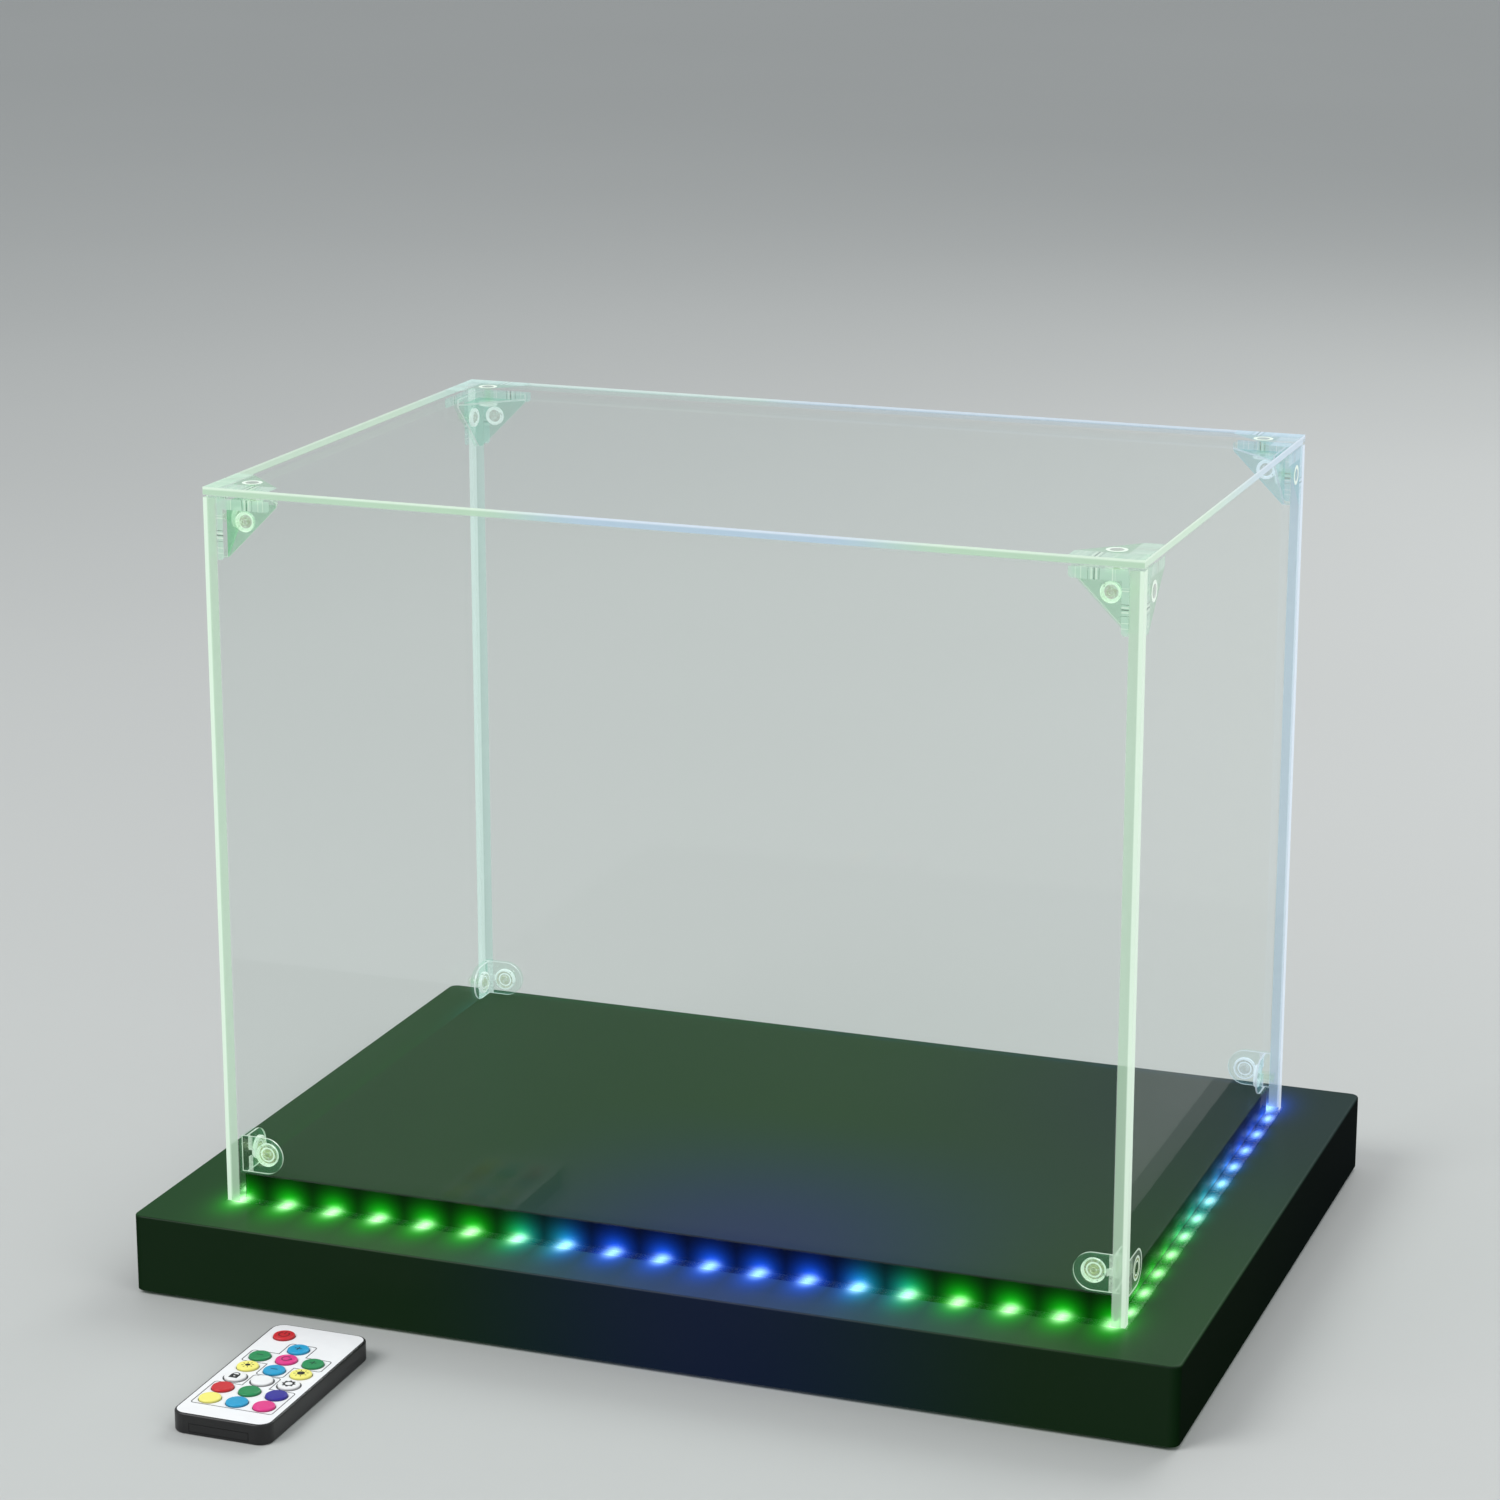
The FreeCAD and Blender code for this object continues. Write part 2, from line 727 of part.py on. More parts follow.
def base_nodes():
    """Everything that stays on the floor under the cover."""
    bottom_screws = [shifted(bottom_screw(), x, y, base_bottom) for x, y in bottom_screw_places()]
    mat_x = base_x - mat_margin
    mat_y = base_y - mat_margin
    return {
        "base_shell": base_shell(),
        "plinth": plinth(),
        "plinth_screws": plinth_screws(),
        "bottom_cover": bottom_cover(),
        "bottom_cover_screws": Part.Compound(bottom_screws),
        "rubber_mat": rounded_plate(mat_x, mat_y, mat_corner_radius, 0, mat_thickness),
        "cord_gland": cord_gland(),
        "led_strip": led_strip(),
        "strip_links": strip_links(),
        "led_chips": led_chips(),
        "led_diffuser": led_diffuser(),
        "strip_lead": strip_lead(),
        "controller_board": controller_board(),
        "controller_parts": controller_parts(),
        "radio_receiver": radio_receiver(),
        "board_screws": board_screws(),
    }


def key_places():
    """Middle of every key on the remote, as X and Y, by name."""
    far_end = remote_length / 2
    places = {}
    for name, (column, row) in KEYS.items():
        places[name] = (column * key_column_pitch, far_end - key_first_row - row * key_row_pitch)
    return places


def key_cap():
    """Round key with a flange below the plate and a hollow over its rubber dome."""
    top = remote_height + key_rise
    cap = rod(key_diameter, (0, 0, key_bottom), (0, 0, top))
    cap = cap.makeFillet(key_round, level_edges(cap, top))
    flange_diameter = key_diameter + 2 * key_flange_width
    flange = rod(flange_diameter, (0, 0, key_bottom), (0, 0, key_bottom + key_flange_thickness))
    hollow_diameter = dome_diameter + 2 * dome_clearance
    hollow = rod(hollow_diameter, (0, 0, key_bottom - PAST), (0, 0, key_bottom + dome_height))
    return cap.fuse(flange).removeSplitter().cut(hollow)


def key_holes(low_z, high_z):
    """Cutters for the key holes in the remote's plate and face."""
    diameter = key_diameter + 2 * key_gap
    return [rod(diameter, (x, y, low_z), (x, y, high_z)) for x, y in key_places().values()]


def remote_inside(low_z, high_z):
    """Space inside the remote's walls."""
    radius = remote_corner_radius - remote_wall
    return rounded_plate(remote_width / 2 - remote_wall, remote_length / 2 - remote_wall, radius, low_z, high_z)


def remote_lower_shell():
    """Lower half of the remote, with rails for the tray and posts under the board."""
    half_length = remote_length / 2
    top = remote_board_bottom
    shell = rounded_plate(remote_width / 2, half_length, remote_corner_radius, 0, top)
    shell = shell.makeFillet(remote_edge_round, level_edges(shell, 0))
    slot_half = tray_width / 2 + tray_clearance
    slot = block((-slot_half, -half_length - PAST, remote_floor), (slot_half, remote_wall - half_length, top))
    shell = shell.cut([remote_inside(remote_floor, top), slot])
    rail_end = tray_length - half_length
    supports = []
    for side in (-1, 1):
        xs = sorted((side * slot_half, side * (slot_half + rail_thickness)))
        supports.append(block((xs[0], remote_wall - half_length, remote_floor), (xs[1], rail_end, tray_top)))
    post_x = remote_width / 2 - remote_wall - remote_fit - post_diameter / 2
    post_y = half_length - remote_corner_radius - post_diameter
    for x in (-post_x, post_x):
        for y in (-post_y, post_y):
            supports.append(rod(post_diameter, (x, y, remote_floor), (x, y, top)))
    return shell.fuse(supports).removeSplitter()


def remote_upper_shell():
    """Upper half of the remote, with a recess for the face and a hole for every key."""
    shell = rounded_plate(remote_width / 2, remote_length / 2, remote_corner_radius, remote_board_bottom, remote_height)
    shell = shell.makeFillet(remote_edge_round, level_edges(shell, remote_height))
    recess = face_plate(remote_height - face_thickness, remote_height + PAST)
    inside = remote_inside(remote_board_bottom, plate_bottom)
    return shell.cut([inside, recess] + key_holes(plate_bottom - PAST, remote_height + PAST))


def face_plate(low_z, high_z):
    """Outline of the pale face, inside the dark rim."""
    radius = remote_corner_radius - face_margin
    return rounded_plate(remote_width / 2 - face_margin, remote_length / 2 - face_margin, radius, low_z, high_z)


def remote_face():
    """Pale face that lies flush in the upper shell."""
    low = remote_height - face_thickness
    return face_plate(low, remote_height).cut(key_holes(low - PAST, remote_height + PAST))


def remote_sheet(low_z, high_z):
    """Sheet that fills the remote inside its walls, with room to fit."""
    half_width = remote_width / 2 - remote_wall - remote_fit
    half_length = remote_length / 2 - remote_wall - remote_fit
    radius = remote_corner_radius - remote_wall - remote_fit
    return rounded_plate(half_width, half_length, radius, low_z, high_z)


def remote_keypad():
    """Rubber sheet on the board, with a dome under every key."""
    sheet = remote_sheet(remote_board_top, keypad_top)
    domes = []
    for x, y in key_places().values():
        domes.append(rod(dome_diameter, (x, y, remote_board_top), (x, y, keypad_top + dome_height)))
    return sheet.fuse(domes).removeSplitter()


def cell_middle():
    """Place of the coin cell's middle along the remote."""
    return tray_length / 2 - remote_length / 2


def battery_tray():
    """Tray that slides in at the near end and carries the coin cell in a round pocket."""
    end = -remote_length / 2
    tray = block((-tray_width / 2, end, tray_bottom), (tray_width / 2, end + tray_length, tray_top))
    pocket_diameter = cell_diameter + 2 * cell_clearance
    pocket_floor = tray_top - cell_thickness - cell_clearance
    y = cell_middle()
    return tray.cut(rod(pocket_diameter, (0, y, pocket_floor), (0, y, tray_top + PAST)))


def coin_cell():
    """Cell in the pocket of the tray."""
    low = tray_top - cell_thickness - cell_clearance
    y = cell_middle()
    return rod(cell_diameter, (0, y, low), (0, y, low + cell_thickness))


def battery_contacts():
    """Two flat contacts under the board, above the cell."""
    y = cell_middle()
    contacts = []
    for side in (-1, 1):
        x = side * contact_width
        low = (x - contact_width / 2, y - contact_length / 2, remote_board_bottom - contact_thickness)
        contacts.append(block(low, (x + contact_width / 2, y + contact_length / 2, remote_board_bottom)))
    return Part.Compound(contacts)


def remote_nodes():
    """The remote's pieces, made about its own middle and laid in front of the base."""
    pieces = {
        "remote_lower_shell": remote_lower_shell(),
        "remote_upper_shell": remote_upper_shell(),
        "remote_face": remote_face(),
        "remote_board": remote_sheet(remote_board_bottom, remote_board_top),
        "remote_keypad": remote_keypad(),
        "battery_contacts": battery_contacts(),
        "battery_tray": battery_tray(),
        "coin_cell": coin_cell(),
    }
    for name, (x, y) in key_places().items():
        pieces[name] = shifted(key_cap(), x, y, 0)
    return {name: shifted(piece, remote_x, remote_y, 0) for name, piece in pieces.items()}


def main():
    """Writes one file for each node."""
    os.makedirs("parts", exist_ok=True)
    nodes = {**cover_nodes(), **base_nodes(), **remote_nodes()}
    for name, shape in nodes.items():
        shape.exportStep(os.path.join("parts", name + ".step"))
    print(len(nodes), "nodes")


main()
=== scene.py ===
import math

import bmesh
import bpy
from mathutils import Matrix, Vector


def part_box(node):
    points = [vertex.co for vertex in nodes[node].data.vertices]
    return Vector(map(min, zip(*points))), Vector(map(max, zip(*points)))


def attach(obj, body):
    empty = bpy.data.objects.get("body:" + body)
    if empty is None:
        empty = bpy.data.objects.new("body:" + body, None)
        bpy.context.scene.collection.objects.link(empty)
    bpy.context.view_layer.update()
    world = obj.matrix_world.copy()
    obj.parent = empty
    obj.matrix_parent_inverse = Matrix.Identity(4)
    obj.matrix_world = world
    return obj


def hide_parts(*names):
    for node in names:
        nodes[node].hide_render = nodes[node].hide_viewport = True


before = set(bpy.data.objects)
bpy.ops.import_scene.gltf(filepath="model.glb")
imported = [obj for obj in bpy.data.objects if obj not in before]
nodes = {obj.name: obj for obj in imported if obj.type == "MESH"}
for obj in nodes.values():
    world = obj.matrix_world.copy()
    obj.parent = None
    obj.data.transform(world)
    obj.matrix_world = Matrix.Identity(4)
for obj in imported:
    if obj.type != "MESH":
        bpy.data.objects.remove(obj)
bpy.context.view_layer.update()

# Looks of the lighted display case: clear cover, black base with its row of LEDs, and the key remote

MM = 0.001

# Places read from the frame, in metres
front_low, front_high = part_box("front_panel")
top_low, top_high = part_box("top_panel")
_, plinth_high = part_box("plinth")
_, chips_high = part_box("led_chips")
diffuser_low, diffuser_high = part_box("led_diffuser")
face_low, face_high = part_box("remote_face")
shell_low, shell_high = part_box("remote_upper_shell")
half_x = front_high.x
half_y = -front_low.y
panel_thickness = front_high.y - front_low.y
inner_x = half_x - panel_thickness
inner_y = half_y - panel_thickness
ledge = front_low.z
ceiling = top_low.z
cover_top = top_high.z

# Rows of LEDs round the foot of the cover
LED_SIZE = 5.0 * MM
LED_PITCH = 20.0 * MM
SHORT_ROW_LEDS = 12
line_x = chips_high.x - LED_SIZE / 2
line_y = chips_high.y - LED_SIZE / 2
long_last = math.floor((line_x - LED_SIZE / 2) / LED_PITCH)
short_last = SHORT_ROW_LEDS // 2

# Where the light turns from green to blue: along the front, along the right side and towards the back
BLUE_MIDDLE = 20.0 * MM
BLUE_REACH = 45.0 * MM
GREEN_REACH = 95.0 * MM
SIDE_GREEN_END = -60.0 * MM
SIDE_BLUE_START = 75.0 * MM
SIDE_WIDTH = 60.0 * MM
BACK_GREEN_END = 40.0 * MM
BACK_CYAN = 0.45
BLUE_STRENGTH = 0.6

# Light of the LEDs on what is round them: level, reach, and weights of the ways that it spreads,
# which are out of a long row, out of a side row, along a side row and up
LED_DROP = 0.7 * MM
WALL_CORE = (0.95, 2.9 * MM, 0.0, 0.0, 1.0, 2.0)
WALL_HALO = (1.6, 2.9 * MM, 0.0, 0.0, 0.45, 1.0)
STRIP_CORE = (1.1, 2.8 * MM, 0.5, 1.65, 0.74, 0.0)
STRIP_HALO = (1.6, 3.0 * MM, 0.42, 2.0, 0.6, 0.0)
LEDGE_CORE = (0.9, 2.9 * MM, 0.66, 2.0, 1.0, 0.0)
LEDGE_HALO = (1.2, 3.3 * MM, 0.56, 2.2, 1.0, 0.0)
BLOOM_WAYS = (0.0, 0.0, 1.0, 1.0)
EVEN_WAYS = (1.0, 1.0, 1.0, 0.0)
SIDE_WALL_CORE = 0.0
SIDE_WALL_HALO = 0.6

# A share above this counts as yes, and a share above a trace counts as painted
MOSTLY = 0.5
TRACE = 0.01


def srgb(red, green, blue):
    """Linear colour from the usual 0 to 255 values."""
    def linear(value):
        share = value / 255
        return share / 12.92 if share <= 0.04045 else ((share + 0.055) / 1.055) ** 2.4
    return (linear(red), linear(green), linear(blue), 1.0)


WHITE = (1.0, 1.0, 1.0, 1.0)
LED_STOPS = [
    (0.0, (0.004, 1.0, 0.008, 1.0)),
    (0.5, (0.008, 0.62, 0.72, 1.0)),
    (1.0, (0.003, 0.10, 1.0, 1.0)),
]
GREEN_CORE = (0.82, 1.0, 0.78, 1.0)
BLUE_CORE = (0.52, 0.90, 1.0, 1.0)

# Sockets of a Mix node that blends colours, known by number because their names repeat
MIX_SHARE = 0
MIX_FIRST = 6
MIX_SECOND = 7
MIX_RESULT = 2

# Gloss of a polished clear face: what it mirrors straight on, and how fast that grows with the slant
PLAIN_SLANT = 0.5
STRAIGHT_ON = 0.04
GLOSS_POWER = 5.0


def set_stops(ramp, stops):
    """Gives a colour ramp its stops, as pairs of place and colour."""
    while len(ramp.elements) < len(stops):
        ramp.elements.new(1.0)
    for element, (place, colour) in zip(ramp.elements, stops):
        element.position = place
        element.color = colour


class Wire:
    """An output socket of a finish. Arithmetic on it adds Math nodes."""

    def __init__(self, finish, socket):
        self.finish = finish
        self.socket = socket

    def beside(self, output):
        """Another output of the same node."""
        return Wire(self.finish, self.socket.node.outputs[output])

    def __add__(self, other):
        return self.finish.math("ADD", self, other)

    def __radd__(self, other):
        return self.finish.math("ADD", other, self)

    def __sub__(self, other):
        return self.finish.math("SUBTRACT", self, other)

    def __rsub__(self, other):
        return self.finish.math("SUBTRACT", other, self)

    def __mul__(self, other):
        return self.finish.math("MULTIPLY", self, other)

    def __rmul__(self, other):
        return self.finish.math("MULTIPLY", other, self)

    def __truediv__(self, other):
        return self.finish.math("DIVIDE", self, other)

    def __rtruediv__(self, other):
        return self.finish.math("DIVIDE", other, self)

    def __lt__(self, other):
        return self.finish.math("LESS_THAN", self, other)

    def __gt__(self, other):
        return self.finish.math("GREATER_THAN", self, other)

    def __abs__(self):
        return self.finish.math("ABSOLUTE", self)


class Finish:
    """A material in the making. Every node of it comes from the node method."""

    def __init__(self, name):
        self.material = bpy.data.materials.new(name)
        self.material.use_nodes = True
        self.tree = self.material.node_tree
        self.tree.nodes.clear()

    def node(self, kind, settings=None, sockets=None, output=0):
        """One node, with its settings first and then the values or links of its sockets."""
        made = self.tree.nodes.new(kind)
        for name, value in (settings or {}).items():
            if name == "stops":
                set_stops(made.color_ramp, value)
            else:
                setattr(made, name, value)
        for name, value in (sockets or {}).items():
            if isinstance(value, Wire):
                self.tree.links.new(value.socket, made.inputs[name])
            else:
                made.inputs[name].default_value = value
        return Wire(self, made.outputs[output]) if made.outputs else None

    def math(self, operation, *values):
        return self.node("ShaderNodeMath", {"operation": operation}, dict(enumerate(values)))

    def smallest(self, found, *others):
        for other in others:
            found = self.math("MINIMUM", found, other)
        return found

    def largest(self, found, *others):
        for other in others:
            found = self.math("MAXIMUM", found, other)
        return found

    def rise(self, value, start, end):
        """Smooth step from 0 at the start to 1 at the end."""
        sockets = {"Value": value, "From Min": start, "From Max": end}
        return self.node("ShaderNodeMapRange", {"interpolation_type": "SMOOTHSTEP"}, sockets)

    def between(self, value, low, high):
        """A share from 0 to 1, spread between two numbers."""
        return self.node("ShaderNodeMapRange", None, {"Value": value, "To Min": low, "To Max": high})

    def fade(self, gap_squared, reach):
        """Bell that is 1 at no gap and falls off over the reach."""
        return self.math("EXPONENT", gap_squared * (-1.0 / (reach * reach)))

    def blend(self, share, first, second):
        """Colour between two colours."""
        sockets = {MIX_SHARE: share, MIX_FIRST: first, MIX_SECOND: second}
        return self.node("ShaderNodeMix", {"data_type": "RGBA"}, sockets, output=MIX_RESULT)

    def scaled(self, colour, amount):
        """Colour times a number."""
        return self.node("ShaderNodeVectorMath", {"operation": "SCALE"}, {0: colour, "Scale": amount})

    def together(self, first, second):
        """Sum of two colours."""
        return self.node("ShaderNodeVectorMath", {"operation": "ADD"}, {0: first, 1: second})

    def place(self):
        """X, Y and Z of a point of the piece, in the frame."""
        spot = self.node("ShaderNodeTexCoord", output="Object")
        x = self.node("ShaderNodeSeparateXYZ", None, {"Vector": spot})
        return x, x.beside("Y"), x.beside("Z")

    def facing(self):
        """How far the surface faces along X, Y and Z, with no sign."""
        normal = self.node("ShaderNodeTexCoord", output="Normal")
        x = self.node("ShaderNodeSeparateXYZ", None, {"Vector": normal})
        return abs(x), abs(x.beside("Y")), abs(x.beside("Z"))

    def grain(self, size, detail=2.0):
        """Soft noise from 0 to 1, with features of about this size in metres."""
        spot = self.node("ShaderNodeTexCoord", output="Object")
        sockets = {"Vector": spot, "Scale": 1.0 / size, "Detail": detail}
        return self.node("ShaderNodeTexNoise", None, sockets)

    def slant(self):
        """Sheen share: 0 on a surface seen straight on, and 1 on one seen edge on."""
        return self.node("ShaderNodeLayerWeight", None, {"Blend": PLAIN_SLANT}, output="Facing")

    def gloss(self, level):
        """Share of light that a polished clear face mirrors: more at a slant, and alike from both sides."""
        growth = self.math("POWER", self.slant(), GLOSS_POWER)
        return (growth * (1 - STRAIGHT_ON) + STRAIGHT_ON) * level

    def bump(self, height, depth, strength):
        """Normal from a height of 0 to 1 that stands for a depth in metres."""
        sockets = {"Height": height, "Distance": depth, "Strength": strength}
        return self.node("ShaderNodeBump", None, sockets)

    def solid(self, **sockets):
        """The main shader, with sockets given by name with _ for a space."""
        named = {name.replace("_", " "): value for name, value in sockets.items()}
        return self.node("ShaderNodeBsdfPrincipled", None, named)

    def over_clear(self, share, surface, tint):
        """Clear material of which a share shows the surface."""
        clear = self.node("ShaderNodeBsdfTransparent", None, {"Color": tint})
        return self.node("ShaderNodeMixShader", None, {0: share, 1: clear, 2: surface})

    def done(self, surface, lit=False):
        """Closes the material. A lit one shows its glow without being sampled as a lamp."""
        self.node("ShaderNodeOutputMaterial", None, {"Surface": surface})
        if lit:
            self.material.cycles.emission_sampling = "NONE"
        return self.material


# Light of the LEDs

def blue_share(f, x, y):
    """How blue the light is at a place: blue along the middle of the front, and towards the back right."""
    front = 1 - f.rise(abs(x - BLUE_MIDDLE), BLUE_REACH, GREEN_REACH)
    side = f.rise(y, SIDE_GREEN_END, SIDE_BLUE_START) * f.rise(x, -SIDE_WIDTH, SIDE_WIDTH)
    back_left = f.rise(y, BACK_GREEN_END, half_y) * BACK_CYAN
    return f.largest(front, side, back_left)


def led_hue(f, x, y):
    """Colour of the LEDs at a place."""
    return f.node("ShaderNodeValToRGB", {"stops": LED_STOPS}, {"Fac": blue_share(f, x, y)})


def along_row(f, along, offset, first, last):
    """Distance along a row from its nearest LED."""
    number = f.math("ROUND", (along - offset) / LED_PITCH)
    number = f.smallest(f.largest(number, first), last)
    return along - offset - number * LED_PITCH


def led_gap(f, place, long_out, side_out, side_along, up_weight, faces_side=None):
    """Squared distance from the nearest LED, with the ways that the light spreads weighted.

    An upright face takes light from the row that it faces: the share says how far that is a side row.
    """
    x, y, z = place
    out_x = (abs(x) - line_x) * side_out
    out_y = (abs(y) - line_y) * long_out
    up = (z - ledge + LED_DROP) * up_weight
    long_step = along_row(f, x, 0.0, -long_last, long_last)
    short_step = along_row(f, y, LED_PITCH / 2, -short_last, short_last - 1) * side_along
    to_long = long_step * long_step + out_y * out_y
    to_short = short_step * short_step + out_x * out_x
    if faces_side is None:
        nearest = f.smallest(to_long, to_short)
    else:
        nearest = to_short * faces_side + to_long * (1 - faces_side)
    return nearest + up * up


def led_light(f, place, core, halo, faces_side=None):
    """Light that the LEDs throw on a surface: a white core and a coloured halo."""
    x, y, _ = place
    core_level, core_reach, *core_ways = core
    halo_level, halo_reach, *halo_ways = halo
    white_part = f.fade(led_gap(f, place, *core_ways, faces_side), core_reach) * core_level
    gap = f.math("SQRT", led_gap(f, place, *halo_ways, faces_side))
    share = blue_share(f, x, y)
    strength = share * BLUE_STRENGTH + 1
    coloured = f.math("EXPONENT", gap * (-1.0 / halo_reach)) * halo_level * strength
    if faces_side is not None:
        white_part = white_part * f.between(faces_side, 1.0, SIDE_WALL_CORE)
        coloured = coloured * f.between(faces_side, 1.0, SIDE_WALL_HALO)
    core_colour = f.blend(share, GREEN_CORE, BLUE_CORE)
    return f.together(f.scaled(led_hue(f, x, y), coloured), f.scaled(core_colour, white_part))


# Sheets of the clear cover, with each colour as it is in green and in blue light

ACROSS = 0
DEEP = 1
UP = 2
PANEL_AXES = {
    "front_panel": DEEP,
    "back_panel": DEEP,
    "left_panel": ACROSS,
    "right_panel": ACROSS,
    "top_panel": UP,
}
# Edges and seams of the sheets are painted light: a glow, with a painted highlight along the top arris, on
# the ends and beside each seam
SEAT = 0.05 * MM
ARRIS = 0.9 * MM
TOP_BAND = 3.1 * MM
SEAM_HIGHLIGHT = 1.7 * MM
SEAM_WIDTH = 5.4 * MM
SEAM_SOFT = 0.3 * MM
EDGE_COVER = 0.94
SEAM_COVER = 0.72
BACK_COVER = 0.3
END_HIGHLIGHT = 0.55
EDGE_GLOW = 0.58
EDGE_BODY = 0.42
EDGE_ROUGHNESS = 0.2
PANEL_GLOSS = 0.25
PANEL_BLOOM = 0.12
BLOOM_REACH = 4.5 * MM
POLISH_SIZE = 60.0 * MM
SHEET_TINT = (0.985, 0.995, 0.99, 1.0)
# Colours of the painted glow of the edges and of painted highlights
EDGE_COLOURS = (srgb(186, 218, 190), srgb(180, 204, 222))
HIGHLIGHT_COLOURS = (srgb(226, 248, 228), srgb(220, 234, 248))

# Brackets and rivets, as distances from the inner faces of the cover or from the plinth's top
BRACKET_THICKNESS = 2.5 * MM
BRACKET_LEG = 24.0 * MM
BRACKET_TIP = 3.3 * MM
FOLD = 4.2 * MM
LOWER_FOLD = 4.4 * MM
LOWER_FOLD_GRAIN = 1.4 * MM
OUTLINE = 0.8 * MM
TAB_HALF = 7.5 * MM
UPPER_RIVET = 10.0 * MM
LOWER_RIVET = 10.5 * MM
LOWER_RIVET_RISE = 7.8 * MM
RIVET_WINDOW = 3.9 * MM
RIVET_HEIGHT = 4.6 * MM
UPPER_RINGS = [(2.6 * MM, 4.0 * MM)]
LOWER_RINGS = [(2.4 * MM, 3.0 * MM), (3.9 * MM, 4.8 * MM)]

# What shows of a bracket through a sheet: how far each part covers what is behind it, and its colours
TICK = 1.0 * MM
PALE_TICK = 0.62
DARK_TICK = 0.28
FOLD_COVER = 0.6
FLANGE_COVER = 0.32
FLANGE_HEAD_COVER = 0.45
TAB_COVER = 0.1
TAB_OUTLINE_COVER = 0.75
TAB_FOLD_SPREAD = (0.1, 0.9)
TAB_HEAD_COVER = 0.5
RING_COVER = 0.9
# Painted light of a bracket through a sheet: pale lit folds, flanges lit green and blue, and a bright rivet
# ring
FOLD_COLOURS = (srgb(188, 224, 202), srgb(182, 214, 228))
FOLD_DARK = srgb(66, 98, 76)
FLANGE_COLOURS = (srgb(128, 206, 150), srgb(134, 200, 206))
FLANGE_DISH = srgb(204, 212, 192)
FLANGE_RING = srgb(238, 255, 240)
LOWER_DISH = srgb(204, 224, 168)


def from_faces(place):
    """Distances of a point from the cover's inner faces: a side, the front or back, and the top."""
    x, y, z = place
    return inner_x - abs(x), inner_y - abs(y), ceiling - z


def rivet_gap(first, second, first_place, second_place):
    """Squared distance from a rivet's axis, in the plane of a flange."""
    across = first - first_place
    along = second - second_place
    return across * across + along * along


def bracket_through(f, first, second, share, with_face):
    """How an upper bracket shows through the sheet that it is riveted to, as a cover and a colour.

    It has a pale fold of painted light, with ticks, along both edges. A sheet seen at a slant also shows its
    face and rivet, glowing with painted light.
    """
    inside = (first < BRACKET_LEG) * (second < BRACKET_LEG) * (first + second < BRACKET_LEG + BRACKET_TIP)
    fold = f.largest(first < FOLD, second < FOLD) * inside
    ticks = f.node("ShaderNodeTexNoise", {"noise_dimensions": "1D"}, {
        "W": f.largest(first, second) / TICK,
        "Scale": 1.0,
        "Detail": 1.0,
    })
    fold_colour = f.blend(share, *FOLD_COLOURS)
    fold_colour = f.blend(ticks > PALE_TICK, fold_colour, f.blend(share, *HIGHLIGHT_COLOURS))
    fold_colour = f.blend(ticks < DARK_TICK, fold_colour, FOLD_DARK)
    if not with_face:
        return fold * FOLD_COVER, fold_colour
    ring_start, ring_end = UPPER_RINGS[0]
    radius = f.math("SQRT", rivet_gap(first, second, UPPER_RIVET, UPPER_RIVET))
    head = (radius < ring_end) * inside
    ring = head * (radius > ring_start)
    colour = f.blend(fold, f.blend(share, *FLANGE_COLOURS), fold_colour)
    colour = f.blend(head, colour, f.blend(ring, FLANGE_DISH, FLANGE_RING))
    cover = f.largest(inside * FLANGE_COVER, fold * FOLD_COVER, head * FLANGE_HEAD_COVER, ring * RING_COVER)
    return cover, colour


def tab_through(f, first, height, share):
    """How a lower bracket's tab shows through a sheet that is seen at a slant, as a cover and a colour."""
    above = height - LOWER_RIVET_RISE
    radius = f.math("SQRT", rivet_gap(first, height, LOWER_RIVET, LOWER_RIVET_RISE))
    round_end = first > LOWER_RIVET
    depth = TAB_HALF - (round_end * radius + (1 - round_end) * abs(above))
    inside = (depth > 0.0) * (first > 0.0)
    outline = inside * (depth < OUTLINE)
    fold = inside * (first < LOWER_FOLD) * f.between(f.grain(LOWER_FOLD_GRAIN), *TAB_FOLD_SPREAD)
    head = (radius < LOWER_RINGS[-1][1]) * inside
    ring = f.largest(*[(radius > start) * (radius < end) for start, end in LOWER_RINGS])
    colour = f.blend(head * (1 - ring), f.blend(share, *HIGHLIGHT_COLOURS), LOWER_DISH)
    cover = f.largest(inside * TAB_COVER, outline * TAB_OUTLINE_COVER, fold * FOLD_COVER)
    return f.largest(cover, head * TAB_HEAD_COVER, ring * RING_COVER), colour


def sheet_through(f, name, place, share):
    """How the brackets show through a sheet, painted on it as a cover and a colour that glow: most on the
    top and right sheets.
    """
    _, y, z = place
    side, front, top = from_faces(place)
    if PANEL_AXES[name] == UP:
        return bracket_through(f, side, front, share, with_face=True)
    if PANEL_AXES[name] == DEEP:
        return bracket_through(f, side, top, share, with_face=False)
    if name == "left_panel":
        return bracket_through(f, front, top, share, with_face=False)
    cover, colour = bracket_through(f, front, top, share, with_face=True)
    tab, tab_colour = tab_through(f, front, z - plinth_high.z, share)
    tab = tab * (y < 0.0)
    return f.largest(cover, tab), f.blend(tab > TRACE, colour, tab_colour)


